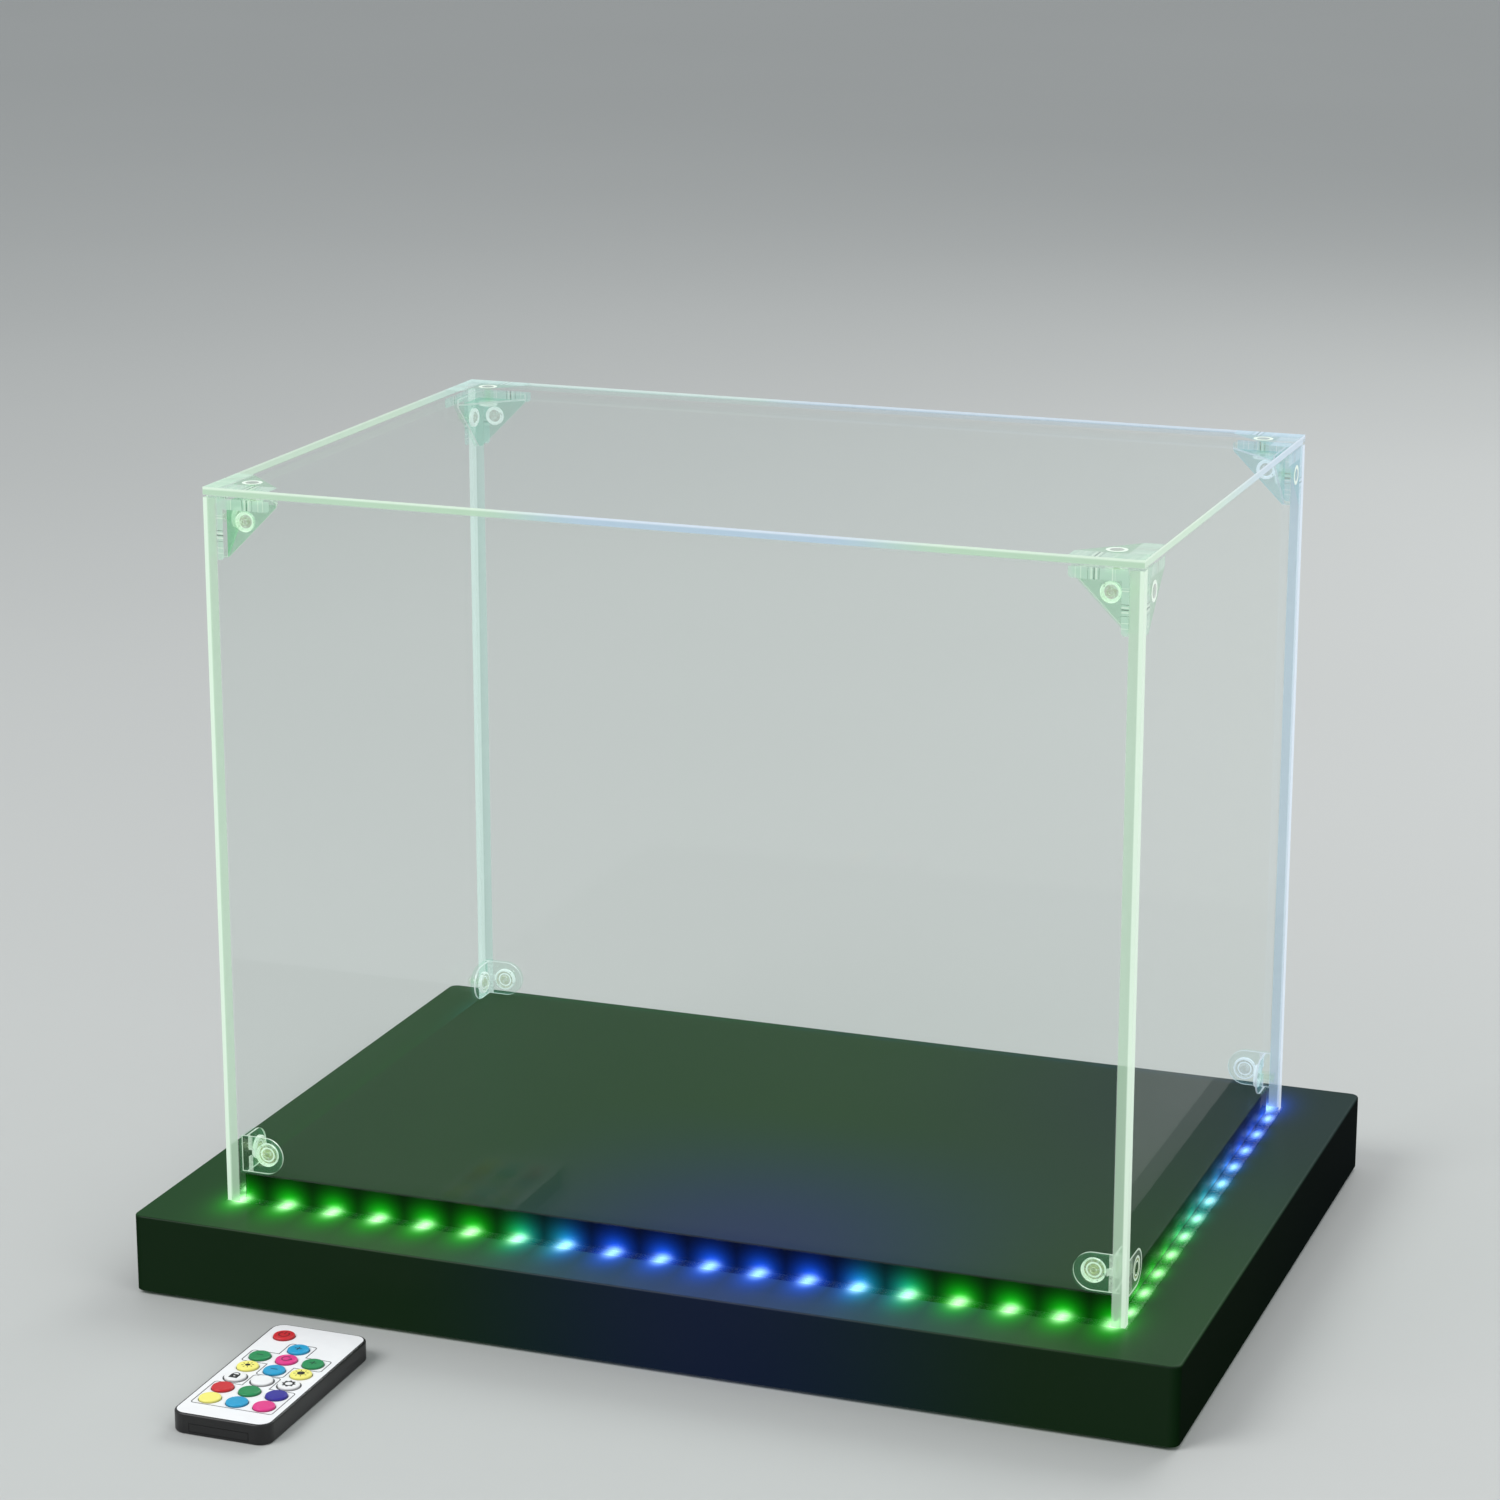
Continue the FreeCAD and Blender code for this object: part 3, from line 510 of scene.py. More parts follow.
def sheet_edges(f, axis, place):
    """Shares of a sheet's outer face, of its edges and seams painted as lit, and of their painted highlight.

    The last number is how far an edge or seam covers what is behind it. A side sheet's edges are hidden.
    """
    x, y, z = place
    from_end = half_x - abs(x)
    from_front = half_y - abs(y)
    on_end = from_end < SEAT
    if axis == ACROSS:
        return on_end, 0.0, 0.0, 0.0
    if axis == DEEP:
        on_outside = from_front < SEAT
        # A seam is painted glowing as lit, with a painted highlight on its outer part
        lit_seam = on_outside * (1 - f.rise(from_end, SEAM_WIDTH - SEAM_SOFT, SEAM_WIDTH + SEAM_SOFT))
        bright = f.largest(on_end, 1 - f.rise(from_end, SEAM_HIGHLIGHT - SEAM_SOFT, SEAM_HIGHLIGHT + SEAM_SOFT))
        cover = f.largest(on_end * EDGE_COVER, lit_seam * f.between(bright, SEAM_COVER, EDGE_COVER))
        return on_outside, f.largest(on_end, lit_seam), bright, cover
    drop = cover_top - z
    in_band = 1 - f.rise(drop, TOP_BAND - SEAM_SOFT, TOP_BAND + SEAM_SOFT)
    shown = f.largest(on_end, from_front < SEAT) * in_band
    # Painted highlight along the top arris and on the ends
    bright = f.largest(1 - f.rise(drop, 0.5 * ARRIS, 1.5 * ARRIS), on_end * END_HIGHLIGHT)
    at_back = (y > inner_y) * f.rise(drop, ARRIS, 2 * ARRIS)
    return drop < SEAT, shown, bright, shown * f.between(at_back, EDGE_COVER, BACK_COVER)


def clear_sheet(name):
    """Polished clear sheet: faint reflections on its faces, and its edges and joint seams painted glowing as
    lit, with painted highlights.
    """
    f = Finish("clear_" + name)
    axis = PANEL_AXES[name]
    place = f.place()
    x, y, _ = place
    share = blue_share(f, x, y)
    on_outside, edge, bright, edge_cover = sheet_edges(f, axis, place)
    through, through_colour = sheet_through(f, name, place, share)
    through = through * on_outside * (1 - edge)
    painted = f.largest(edge, through > TRACE)
    edge_colour = f.blend(bright, f.blend(share, *EDGE_COLOURS), f.blend(share, *HIGHLIGHT_COLOURS))
    colour = f.blend(edge, through_colour, edge_colour)
    foot_gap = led_gap(f, place, *BLOOM_WAYS, faces_side=1.0 if axis == ACROSS else 0.0)
    bloom = f.fade(foot_gap, BLOOM_REACH) * PANEL_BLOOM
    surface = f.solid(
        Base_Color=f.blend(painted, WHITE, f.scaled(colour, EDGE_BODY)),
        Metallic=1 - painted,
        Roughness=f.between(f.grain(POLISH_SIZE), 0.01, 0.05) + painted * EDGE_ROUGHNESS,
        Emission_Color=f.together(f.scaled(colour, painted * EDGE_GLOW), f.scaled(led_hue(f, x, y), bloom)),
        Emission_Strength=1.0,
    )
    bare = (f.gloss(PANEL_GLOSS) + bloom) * (1 - painted)
    return f.done(f.over_clear(f.largest(edge_cover, through, bare), surface, SHEET_TINT), lit=True)


# Brackets and rivets of the clear cover

BRACKET_GLOSS = 0.5
BRACKET_BODY = 0.5
BRACKET_GLOW = 0.45
BRACKET_EDGE_COVER = 0.12
BRACKET_VEIL = 0.6
BRACKET_RIPPLE = 3.0 * MM
BRACKET_RIPPLE_DEPTH = 0.15 * MM
BRACKET_TINT = (0.97, 1.0, 0.98, 1.0)
LOWER_FOLD_SPREAD = (0.2, 1.0)
UPPER_FACE_COVER = 0.36
LOWER_FACE_COVER = 0.12
UPPER_OUTLINE_SPREAD = (0.30, 0.62)
LOWER_OUTLINE_SPREAD = (0.55, 0.90)
# Painted green and blue light of the LEDs on the brackets' faces
BRACKET_COLOURS = (srgb(112, 204, 146), srgb(132, 200, 214))
RIVET_BODY = 0.5
RIVET_GLOW = 0.36
RING_GLOW = 0.18
RIVET_VEIL = 0.55
STEM_COVER = 0.04
HEAD_SPREAD = (0.6, 0.95)
RING_SOFT = 0.2 * MM
SPECK_SIZE = 1.2 * MM
SPECK_LEVEL = 0.36
SPECK_LOSS = 0.5
RIVET_RIPPLE = 0.9 * MM
RIVET_RIPPLE_DEPTH = 0.1 * MM
RIVET_TINT = (0.98, 1.0, 0.98, 1.0)
# Rivet rings are painted highlights, in green and in blue light
RING_COLOURS = (srgb(234, 255, 236), srgb(226, 244, 255))
UPPER_DISH = srgb(206, 214, 192)
DISH_BLUE = srgb(202, 216, 220)
SPECK_DARK = srgb(110, 140, 116)


def flange_of(place, depth, upper):
    """The flange that a point of a bracket or rivet is on, and its squared distance from the rivet there.

    The flange is given as shares of the front or back, side and top one. The depth of a flange is counted
    from the inner face of the cover.
    """
    side, front, top = from_faces(place)
    on_front = front < depth
    on_side = (side < depth) * (1 - on_front)
    on_top = (1 - on_front) * (1 - on_side)
    if upper:
        to_front = rivet_gap(side, top, UPPER_RIVET, UPPER_RIVET)
        to_side = rivet_gap(front, top, UPPER_RIVET, UPPER_RIVET)
        to_top = rivet_gap(side, front, UPPER_RIVET, UPPER_RIVET)
    else:
        up = place[UP] - plinth_high.z
        to_front = rivet_gap(side, up, LOWER_RIVET, LOWER_RIVET_RISE)
        to_side = rivet_gap(front, up, LOWER_RIVET, LOWER_RIVET_RISE)
        to_top = to_front
    gap = on_front * to_front + on_side * to_side + on_top * to_top
    return on_front, on_side, on_top, gap


def shown_by_sheet(place, on_side, on_top, upper):
    """Share of a flange that the sheet in front of it shows too."""
    x, y, _ = place
    if upper:
        return on_top + on_side * (x > 0.0)
    return on_side * (x > 0.0) * (y < 0.0)


def clear_bracket(name, upper):
    """Moulded clear bracket: faces glowing with painted green and blue LED light, painted bright outlines
    and a clear window under each rivet.
    """
    f = Finish(name)
    place = f.place()
    side, front, top = from_faces(place)
    facing_x, facing_y, facing_z = f.facing()
    on_front, on_side, on_top, gap = flange_of(place, BRACKET_THICKNESS + SEAT, upper)
    across = on_front * facing_y + on_side * facing_x + on_top * facing_z
    height = on_front * front + on_side * side + on_top * top
    edge = across < MOSTLY
    outline = edge * (height > BRACKET_THICKNESS - OUTLINE)
    window = gap < RIVET_WINDOW * RIVET_WINDOW
    ripple = f.grain(BRACKET_RIPPLE, detail=3.0)
    outline_spread = UPPER_OUTLINE_SPREAD if upper else LOWER_OUTLINE_SPREAD
    face_cover = UPPER_FACE_COVER if upper else LOWER_FACE_COVER
    veil = 1 - shown_by_sheet(place, on_side, on_top, upper) * BRACKET_VEIL
    edge_share = edge * BRACKET_EDGE_COVER + outline * f.between(ripple, *outline_spread)
    face_share = (f.gloss(BRACKET_GLOSS) + face_cover) * veil * (1 - edge)
    cover = f.largest(edge_share, face_share)
    if upper:
        seat = f.smallest(front, side, top)
        pale = outline
    else:
        seat = f.smallest(front, side)
        fold = (f.largest(front, side) < LOWER_FOLD) * (1 - edge)
        pale = f.largest(outline, fold)
        cover = f.largest(cover, fold * f.between(f.grain(LOWER_FOLD_GRAIN), *LOWER_FOLD_SPREAD))
    seated = (seat < SEAT) * (1 - edge)
    share = blue_share(f, place[ACROSS], place[DEEP])
    colour = f.blend(pale, f.blend(share, *BRACKET_COLOURS), f.blend(share, *HIGHLIGHT_COLOURS))
    surface = f.solid(
        Base_Color=f.scaled(colour, BRACKET_BODY),
        Roughness=f.between(ripple, 0.05, 0.16),
        Emission_Color=f.scaled(colour, BRACKET_GLOW),
        Emission_Strength=1.0,
        Normal=f.bump(ripple, BRACKET_RIPPLE_DEPTH, 0.3),
    )
    cover = cover * (1 - seated) * (1 - window)
    return f.done(f.over_clear(cover, surface, BRACKET_TINT), lit=True)


def clear_rivet(name, upper):
    """Clear push rivet, glowing with painted LED light: rings of painted highlight round a duller dish, with
    a few dark specks.
    """
    f = Finish(name)
    place = f.place()
    side, front, top = from_faces(place)
    _, on_side, on_top, gap = flange_of(place, RIVET_HEIGHT, upper)
    radius = f.math("SQRT", gap)
    height = f.smallest(side, front, top)
    head = f.rise(height, BRACKET_THICKNESS + SEAT, BRACKET_THICKNESS + 4 * SEAT)
    rings = []
    for start, end in UPPER_RINGS if upper else LOWER_RINGS:
        past_start = f.rise(radius, start - RING_SOFT, start + RING_SOFT)
        rings.append(past_start * (1 - f.rise(radius, end, end + RING_SOFT)))
    ring = f.largest(*rings)
    outside_dish = radius > LOWER_RINGS[0][1]
    speck = (f.grain(SPECK_SIZE) < SPECK_LEVEL) * outside_dish * (1 - ring * SPECK_LOSS)
    share = blue_share(f, place[ACROSS], place[DEEP])
    ripple = f.grain(RIVET_RIPPLE, detail=3.0)
    ring_colour = f.blend(share, *RING_COLOURS)
    dish_colour = f.blend(share, UPPER_DISH if upper else LOWER_DISH, DISH_BLUE)
    dish_colour = f.blend(f.rise(ripple, 0.45, 0.65), dish_colour, ring_colour)
    colour = f.blend(speck, f.blend(ring, dish_colour, ring_colour), SPECK_DARK)
    veil = 1 - shown_by_sheet(place, on_side, on_top, upper) * RIVET_VEIL
    cover = (head * f.between(ring, *HEAD_SPREAD) + (1 - head) * STEM_COVER) * veil
    surface = f.solid(
        Base_Color=f.scaled(colour, RIVET_BODY),
        Roughness=f.between(ripple, 0.05, 0.15),
        Emission_Color=f.scaled(colour, ring * RING_GLOW + RIVET_GLOW),
        Emission_Strength=1.0,
        Normal=f.bump(ripple, RIVET_RIPPLE_DEPTH, 0.4),
    )
    return f.done(f.over_clear(cover, surface, RIVET_TINT), lit=True)


# Boards of the base: the soft light on them and how far it reaches, their varnish and their blacks

BOARD_LIGHT_MIDDLE = 32.0 * MM
BOARD_LIGHT_FAR = 135.0 * MM
FRONT_NEAR = -130.0 * MM
FRONT_FAR = 30.0 * MM
# Colours of the painted LED light on the boards
BOARD_GREEN_LIGHT = (0.002, 0.060, 0.004, 1.0)
BOARD_BLUE_LIGHT = (0.001, 0.026, 0.115, 1.0)
BOARD_TEAL_LIGHT = (0.003, 0.028, 0.024, 1.0)
FRONT_LEDGE_LIGHT = (0.016, 0.018, 0.012)
LIFT_NEAR = -135.0 * MM
LIFT_FAR = -95.0 * MM
LIFT_NARROW = 150.0 * MM
LIFT_WIDE = 205.0 * MM
# Shares of painted light: ledge sheen, more in front, on front and back faces, all over, and plinth sheen
LEDGE_SHEEN = 1.15
FRONT_LEDGE_SHEEN = 0.45
FRONT_AND_BACK_LIGHT = 0.14
EVEN_BOARD_LIGHT = 0.06
PLINTH_SHEEN = 1.05
LEDGE_UNLIT = 1.2 * MM
LEDGE_LIT = 0.2 * MM
WALL_FACING = 0.3
TOP_FACING = 0.8
TOP_VARNISH = 0.24
SIDE_VARNISH = 0.03
BOARD_CLOUD = 90.0 * MM
PEEL_SIZE = 0.8 * MM
PEEL_DEPTH = 0.02 * MM
PEEL_ROUGHNESS = 0.05

# A dark and a light black, each for the walls and the top, or for the front and back, the top and the sides
# The plinth's walls and the base's sides are darker by painted shade
PLINTH_BLACKS = [
    (srgb(5, 6, 6), srgb(22, 23, 23)),
    (srgb(9, 10, 10), srgb(29, 30, 30)),
]
BASE_BLACKS = [
    (srgb(19, 19, 19), srgb(20, 21, 21), srgb(4, 5, 5)),
    (srgb(25, 25, 25), srgb(27, 28, 28), srgb(7, 8, 8)),
]


def board_light(f, x, y):
    """Soft light on the boards: blue in the middle of the front, dull at the back right, green elsewhere."""
    near_middle = 1 - f.rise(abs(x - BOARD_LIGHT_MIDDLE), 0.0, BOARD_LIGHT_FAR)
    near_front = 1 - f.rise(y, FRONT_NEAR, FRONT_FAR)
    dull = f.rise(x, 0.0, half_x) * f.rise(y, -inner_y, half_y)
    return f.blend(near_middle * near_front, f.blend(dull, BOARD_GREEN_LIGHT, BOARD_TEAL_LIGHT), BOARD_BLUE_LIGHT)


def satin_black(f, blacks, varnish, glow):
    """Satin black paint, a little cloudy, with a fine peel and a varnish."""
    cloud = f.grain(BOARD_CLOUD, detail=3.0)
    peel = f.grain(PEEL_SIZE)
    surface = f.solid(
        Base_Color=f.blend(cloud, *blacks),
        Roughness=f.between(cloud, 0.40, 0.50) + peel * PEEL_ROUGHNESS,
        Specular_IOR_Level=0.0,
        Coat_Weight=varnish,
        Coat_Roughness=0.3,
        Emission_Color=glow,
        Emission_Strength=1.0,
        Normal=f.bump(peel, PEEL_DEPTH, 0.35),
    )
    return f.done(surface, lit=True)


def plinth_black():
    """Black of the plinth: its walls take the light of the LEDs and have painted shade, and its top has a
    sheen.
    """
    f = Finish("black_plinth")
    place = f.place()
    facing_x, _, facing_z = f.facing()
    light = led_light(f, place, WALL_CORE, WALL_HALO, facing_x > MOSTLY)
    light = f.scaled(light, 1 - f.rise(facing_z, WALL_FACING, TOP_FACING))
    sheen = f.scaled(board_light(f, place[ACROSS], place[DEEP]), facing_z * f.slant() * PLINTH_SHEEN)
    # Walls darker than the top by painted shade
    blacks = [f.blend(facing_z, wall, top) for wall, top in PLINTH_BLACKS]
    return satin_black(f, blacks, facing_z * TOP_VARNISH, f.together(light, sheen))


def base_black():
    """Black of the base: its ledge takes the light of the LEDs and has a sheen and painted light, palest in
    front, and its sides have painted shade.
    """
    f = Finish("black_board")
    place = f.place()
    x, y, z = place
    facing_x, facing_y, facing_z = f.facing()
    light = led_light(f, place, LEDGE_CORE, LEDGE_HALO)
    light = f.scaled(light, f.rise(z, ledge - LEDGE_UNLIT, ledge - LEDGE_LIT))
    # Painted light on the ledge's top along the front: an even glow and more sheen
    lift = (1 - f.rise(y, LIFT_NEAR, LIFT_FAR)) * (1 - f.rise(abs(x), LIFT_NARROW, LIFT_WIDE)) * facing_z
    top_sheen = facing_z * f.slant() * (lift * FRONT_LEDGE_SHEEN + LEDGE_SHEEN)
    sheen = f.scaled(board_light(f, x, y), top_sheen + facing_y * FRONT_AND_BACK_LIGHT + EVEN_BOARD_LIGHT)
    glow = f.together(f.together(light, f.scaled(FRONT_LEDGE_LIGHT, lift)), sheen)
    # Sides darkest by painted shade
    blacks = [f.blend(facing_x, f.blend(facing_z, front, top), side) for front, top, side in BASE_BLACKS]
    return satin_black(f, blacks, facing_z * TOP_VARNISH + SIDE_VARNISH, glow)


# LEDs and the strip over them

LENS_RIBS = 1.2 * MM
LENS_DARK = srgb(24, 30, 28)
LENS_PALE = srgb(34, 40, 38)
LED_WINDOW = 1.7 * MM
LED_WINDOW_END = 1.9 * MM
LED_WHITE = srgb(236, 236, 230)
LED_YELLOW = srgb(240, 226, 140)
LED_GLOW = 0.4
LED_WINDOW_GLOW = 5.0


def lit_lens():
    """Milky strip over the LEDs, white-hot over each one."""
    f = Finish("clear_diffuser")
    ribs = f.grain(LENS_RIBS)
    surface = f.solid(
        Base_Color=f.blend(ribs, LENS_DARK, LENS_PALE),
        Roughness=f.between(ribs, 0.2, 0.35),
        Emission_Color=led_light(f, f.place(), STRIP_CORE, STRIP_HALO),
        Emission_Strength=1.0,
    )
    return f.done(surface, lit=True)


def lit_led():
    """White LED package with a glowing round window."""
    f = Finish("lit_led")
    place = f.place()
    gap = f.math("SQRT", led_gap(f, place, *EVEN_WAYS))
    window = 1 - f.rise(gap, LED_WINDOW, LED_WINDOW_END)
    hue = led_hue(f, place[ACROSS], place[DEEP])
    surface = f.solid(
        Base_Color=f.blend(window, LED_WHITE, LED_YELLOW),
        Roughness=f.between(window, 0.45, 0.15),
        Emission_Color=f.scaled(f.blend(window, hue, WHITE), window * LED_WINDOW_GLOW + LED_GLOW),
        Emission_Strength=1.0,
    )
    return f.done(surface, lit=True)


# Plain finishes

CLOUD_GRAINS = 12
SKIN_SPREAD = 0.07
SKIN_DEPTH = 0.02 * MM
TRACKS_PER_METRE = 260.0
TRACK_START = 0.38
TRACK_END = 0.42
TRACK_RISE = 0.05 * MM
MASK_GRAIN = 2.0 * MM
MASK_GREEN = srgb(14, 70, 40)
TRACK_GREEN = srgb(26, 104, 62)
KEY_FOOT_LOW = 0.2 * MM
KEY_FOOT_HIGH = 0.8 * MM
KEY_SKIN = 0.35 * MM
KEY_CLOUD = 6.0 * MM
KEY_FOOT_PAINTED_SHADE = 0.55
KEY_CLOUD_SHADE = 0.92
FLOOR_CLOUD = 900.0 * MM
FLOOR_DARK = srgb(186, 188, 186)
FLOOR_LIGHT = srgb(194, 196, 194)


def shaded(colour, share):
    """Darker colour of the same hue."""
    return tuple(share * part for part in colour[:3]) + (1.0,)


def plain_finish(name, dark, light, grain_size, roughness, metal=0.0, bump_depth=SKIN_DEPTH):
    """Moulded, rolled or printed finish: a colour that wanders, uneven gloss and a fine skin."""
    f = Finish(name)
    cloud = f.grain(grain_size * CLOUD_GRAINS, detail=3.0)
    skin = f.grain(grain_size, detail=3.0)
    surface = f.solid(
        Base_Color=f.blend(cloud, dark, light),
        Metallic=metal,
        Roughness=f.between(skin, roughness - SKIN_SPREAD, roughness + SKIN_SPREAD),
        Normal=f.bump(skin, bump_depth, 0.5),
    )
    return f.done(surface)


def circuit_board(name):
    """Circuit board with raised tracks under its mask."""
    f = Finish(name)
    spot = f.node("ShaderNodeTexCoord", output="Object")
    sockets = {"Vector": spot, "Scale": TRACKS_PER_METRE, "Randomness": 0.0}
    lines = f.node("ShaderNodeTexVoronoi", {"distance": "CHEBYCHEV", "feature": "F1"}, sockets)
    tracks = f.rise(lines, TRACK_START, TRACK_END)
    surface = f.solid(
        Base_Color=f.blend(tracks, MASK_GREEN, TRACK_GREEN),
        Roughness=f.between(f.grain(MASK_GRAIN), 0.28, 0.42),
        Normal=f.bump(tracks, TRACK_RISE, 0.5),
    )
    return f.done(surface)


def key_cap(name, colour):
    """Satin key, a little darker round its foot by painted shade, with a fine moulded skin."""
    f = Finish(name)
    _, _, z = f.place()
    # Painted shade round the foot of the key, where it meets the face
    foot = 1 - f.rise(z, face_high.z - KEY_FOOT_LOW, face_high.z + KEY_FOOT_HIGH)
    skin = f.grain(KEY_SKIN)
    body = f.blend(f.grain(KEY_CLOUD), shaded(colour, KEY_CLOUD_SHADE), colour)
    surface = f.solid(
        Base_Color=f.blend(foot, body, shaded(colour, KEY_FOOT_PAINTED_SHADE)),
        Roughness=f.between(skin, 0.30, 0.42),
        Normal=f.bump(skin, SKIN_DEPTH, 0.4),
    )
    return f.done(surface)


def pale_floor():
    """Plain pale floor."""
    f = Finish("pale_floor")
    cloud = f.grain(FLOOR_CLOUD)
    surface = f.solid(
        Base_Color=f.blend(cloud, FLOOR_DARK, FLOOR_LIGHT),
        Roughness=f.between(cloud, 0.55, 0.65),
    )
    return f.done(surface)


# Materials of the CAD nodes

CORNERS = ("front_left", "front_right", "back_right", "back_left")
METAL = 1.0
DULL = 0.0

# Dark and light colour, grain in millimetres, roughness, metal, depth of skin in millimetres, and nodes
PLAIN_FINISHES = {
    "black_plastic": (srgb(16, 16, 17), srgb(26, 26, 27), 0.4, 0.5, DULL, 0.02, ["bottom_cover"]),
    "black_rubber": (
        srgb(18, 18, 18), srgb(34, 34, 33), 0.5, 0.8, DULL, 0.08,
        ["rubber_mat", "cord_gland"],
    ),
    "steel_screw": (
        srgb(150, 150, 148), srgb(186, 186, 184), 0.3, 0.32, METAL, 0.02,
        ["plinth_screws", "bottom_cover_screws", "board_screws"],
    ),
    "white_flex_board": (srgb(222, 222, 216), srgb(238, 238, 234), 0.5, 0.45, DULL, 0.02, ["led_strip"]),
    "solder": (srgb(176, 178, 180), srgb(206, 208, 210), 0.4, 0.25, METAL, 0.02, ["strip_links"]),
    "white_lead": (srgb(214, 214, 208), srgb(232, 232, 228), 0.5, 0.4, DULL, 0.02, ["strip_lead"]),
    "dark_component": (srgb(20, 20, 22), srgb(36, 36, 38), 0.3, 0.45, DULL, 0.02, ["controller_parts"]),
    "tin_screen": (srgb(168, 170, 172), srgb(196, 198, 200), 0.4, 0.3, METAL, 0.02, ["radio_receiver"]),
    "remote_black": (
        srgb(12, 12, 13), srgb(20, 20, 21), 0.35, 0.4, DULL, 0.02,
        ["remote_lower_shell", "remote_upper_shell", "battery_tray"],
    ),
    "remote_white": (srgb(238, 238, 240), srgb(246, 246, 247), 0.4, 0.35, DULL, 0.01, ["remote_face"]),
    "grey_rubber": (srgb(150, 150, 150), srgb(176, 176, 176), 0.5, 0.7, DULL, 0.02, ["remote_keypad"]),
    "contact_metal": (
        srgb(190, 180, 150), srgb(214, 206, 180), 0.4, 0.25, METAL, 0.02,
        ["battery_contacts"],
    ),
    "cell_steel": (srgb(178, 180, 182), srgb(208, 210, 212), 0.3, 0.28, METAL, 0.02, ["coin_cell"]),
}

KEY_FINISHES = {
    "key_red": (srgb(206, 30, 40), ["key_power", "key_red"]),
    "key_cyan": (srgb(24, 160, 208), ["key_speed_up", "key_speed_down", "key_cyan"]),
    "key_green": (srgb(18, 140, 80), ["key_effect_back", "key_effect_next", "key_green"]),
    "key_pink": (srgb(228, 48, 136), ["key_auto", "key_pink"]),
    "key_yellow": (srgb(250, 242, 124), ["key_dim", "key_bright", "key_yellow"]),
    "key_white": (srgb(244, 244, 244), ["key_lock", "key_white", "key_settings"]),
    "key_blue": (srgb(40, 30, 152), ["key_blue"]),
}


def dress(material, *names):
    """Gives CAD nodes a material."""
    for name in names:
        slots = nodes[name].data.materials
        slots.clear()
        slots.append(material)


def dress_cover():
    """Materials of the lift-off cover."""
    for name in PANEL_AXES:
        dress(clear_sheet(name), name)
    for level in ("upper", "lower"):
        upper = level == "upper"
        bracket = clear_bracket("clear_" + level + "_bracket", upper)
        dress(bracket, *[level + "_bracket_" + corner for corner in CORNERS])
        rivet = clear_rivet("clear_" + level + "_rivet", upper)
        dress(rivet, level + "_rivet_sleeves", level + "_rivet_pins")


def dress_base_and_remote():
    """Materials of the base, the remote and what is inside them."""
    dress(base_black(), "base_shell")
    dress(plinth_black(), "plinth")
    dress(lit_led(), "led_chips")
    dress(circuit_board("green_board"), "controller_board")
    dress(circuit_board("remote_green_board"), "remote_board")
    for name, (dark, light, grain, roughness, metal, skin, names) in PLAIN_FINISHES.items():
        dress(plain_finish(name, dark, light, grain * MM, roughness, metal, skin * MM), *names)
    for name, (colour, keys) in KEY_FINISHES.items():
        dress(key_cap(name, colour), *keys)


# Pieces made here

LENS_GAP = 0.3 * MM
LENS_SINK = 0.02 * MM
SQUARE = ((-1, -1), (1, -1), (1, 1), (-1, 1))


def mesh_piece(name, shape, material):
    """Object from a bmesh, with one material."""
    mesh = bpy.data.meshes.new(name)
    shape.to_mesh(mesh)
    shape.free()
    mesh.materials.append(material)
    piece = bpy.data.objects.new(name, mesh)
    bpy.context.scene.collection.objects.link(piece)
    return piece


def lens_strip():
    """Strip over the LEDs, a hair below the cover's foot."""
    outer = (diffuser_high.x, diffuser_high.y)
    inner = (plinth_high.x + LENS_GAP, plinth_high.y + LENS_GAP)
    low = diffuser_low.z
    high = diffuser_high.z - LENS_SINK
    shape = bmesh.new()
    rings = []
    for half, z in ((outer, low), (outer, high), (inner, high), (inner, low)):
        rings.append([shape.verts.new((a * half[0], b * half[1], z)) for a, b in SQUARE])
    for ring, following in zip(rings, rings[1:] + rings[:1]):
        for i in range(len(ring)):
            j = (i + 1) % len(ring)
            shape.faces.new((ring[i], ring[j], following[j], following[i]))
    bmesh.ops.recalc_face_normals(shape, faces=shape.faces)
    strip = mesh_piece("led_lens_strip", shape, lit_lens())
    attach(strip, "base")
    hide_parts("led_diffuser")


# Prints of the remote, as raised ink

INK = 0.03 * MM
LINE = 0.36 * MM
LINE_ROUND = 1.2 * MM
COLUMN_PITCH = 11.1 * MM
ROW_PITCH = 10.1 * MM
FIRST_ROW = 11.3 * MM
KEY_RISE = 1.0 * MM
KEY_RING = 4.6 * MM
CROSS_COLUMN = 5.6 * MM
CROSS_ROW = 5.0 * MM
CROSS_ABOVE = 4.9 * MM
CROSS_BELOW = 4.5 * MM
FRAME_HALF = 16.6 * MM
FRAME_NECK = 4.8 * MM
FRAME_SHOULDER = -5.2 * MM
CROSS_KEY_ROW = 2
PALE_KEY_ROW = 4
LAST_KEY_ROW = 6
FULL_TURN = 360.0
ARC_STEPS = 6
CIRCLE_STEPS = 32

# Signs on the keys
STROKE = 0.5 * MM
STROKE_REACH = 1.4 * MM
POWER_RADIUS = 2.3 * MM
POWER_STROKE = 0.55 * MM
POWER_START = 125.0
POWER_TURN = 289.99
POWER_BAR_FOOT = 0.1 * MM
POWER_BAR_TIP = 2.5 * MM
SMALL_SUN = 1.0 * MM
LARGE_SUN = 1.5 * MM
SUN_RAYS = 8
RAY_START = 0.55 * MM
RAY_END = 1.4 * MM
RAY_WIDTH = 0.32 * MM
LOCK_HALF = 1.75 * MM
LOCK_LOW = 2.35 * MM
LOCK_HIGH = 0.75 * MM
LOCK_BOW = 1.1 * MM
KEYHOLE = 0.5 * MM
GEAR_HOLE = 1.4 * MM
GEAR_TIP = 2.7 * MM
GEAR_ROOT = 2.1 * MM
TOOTH_STEPS = 4
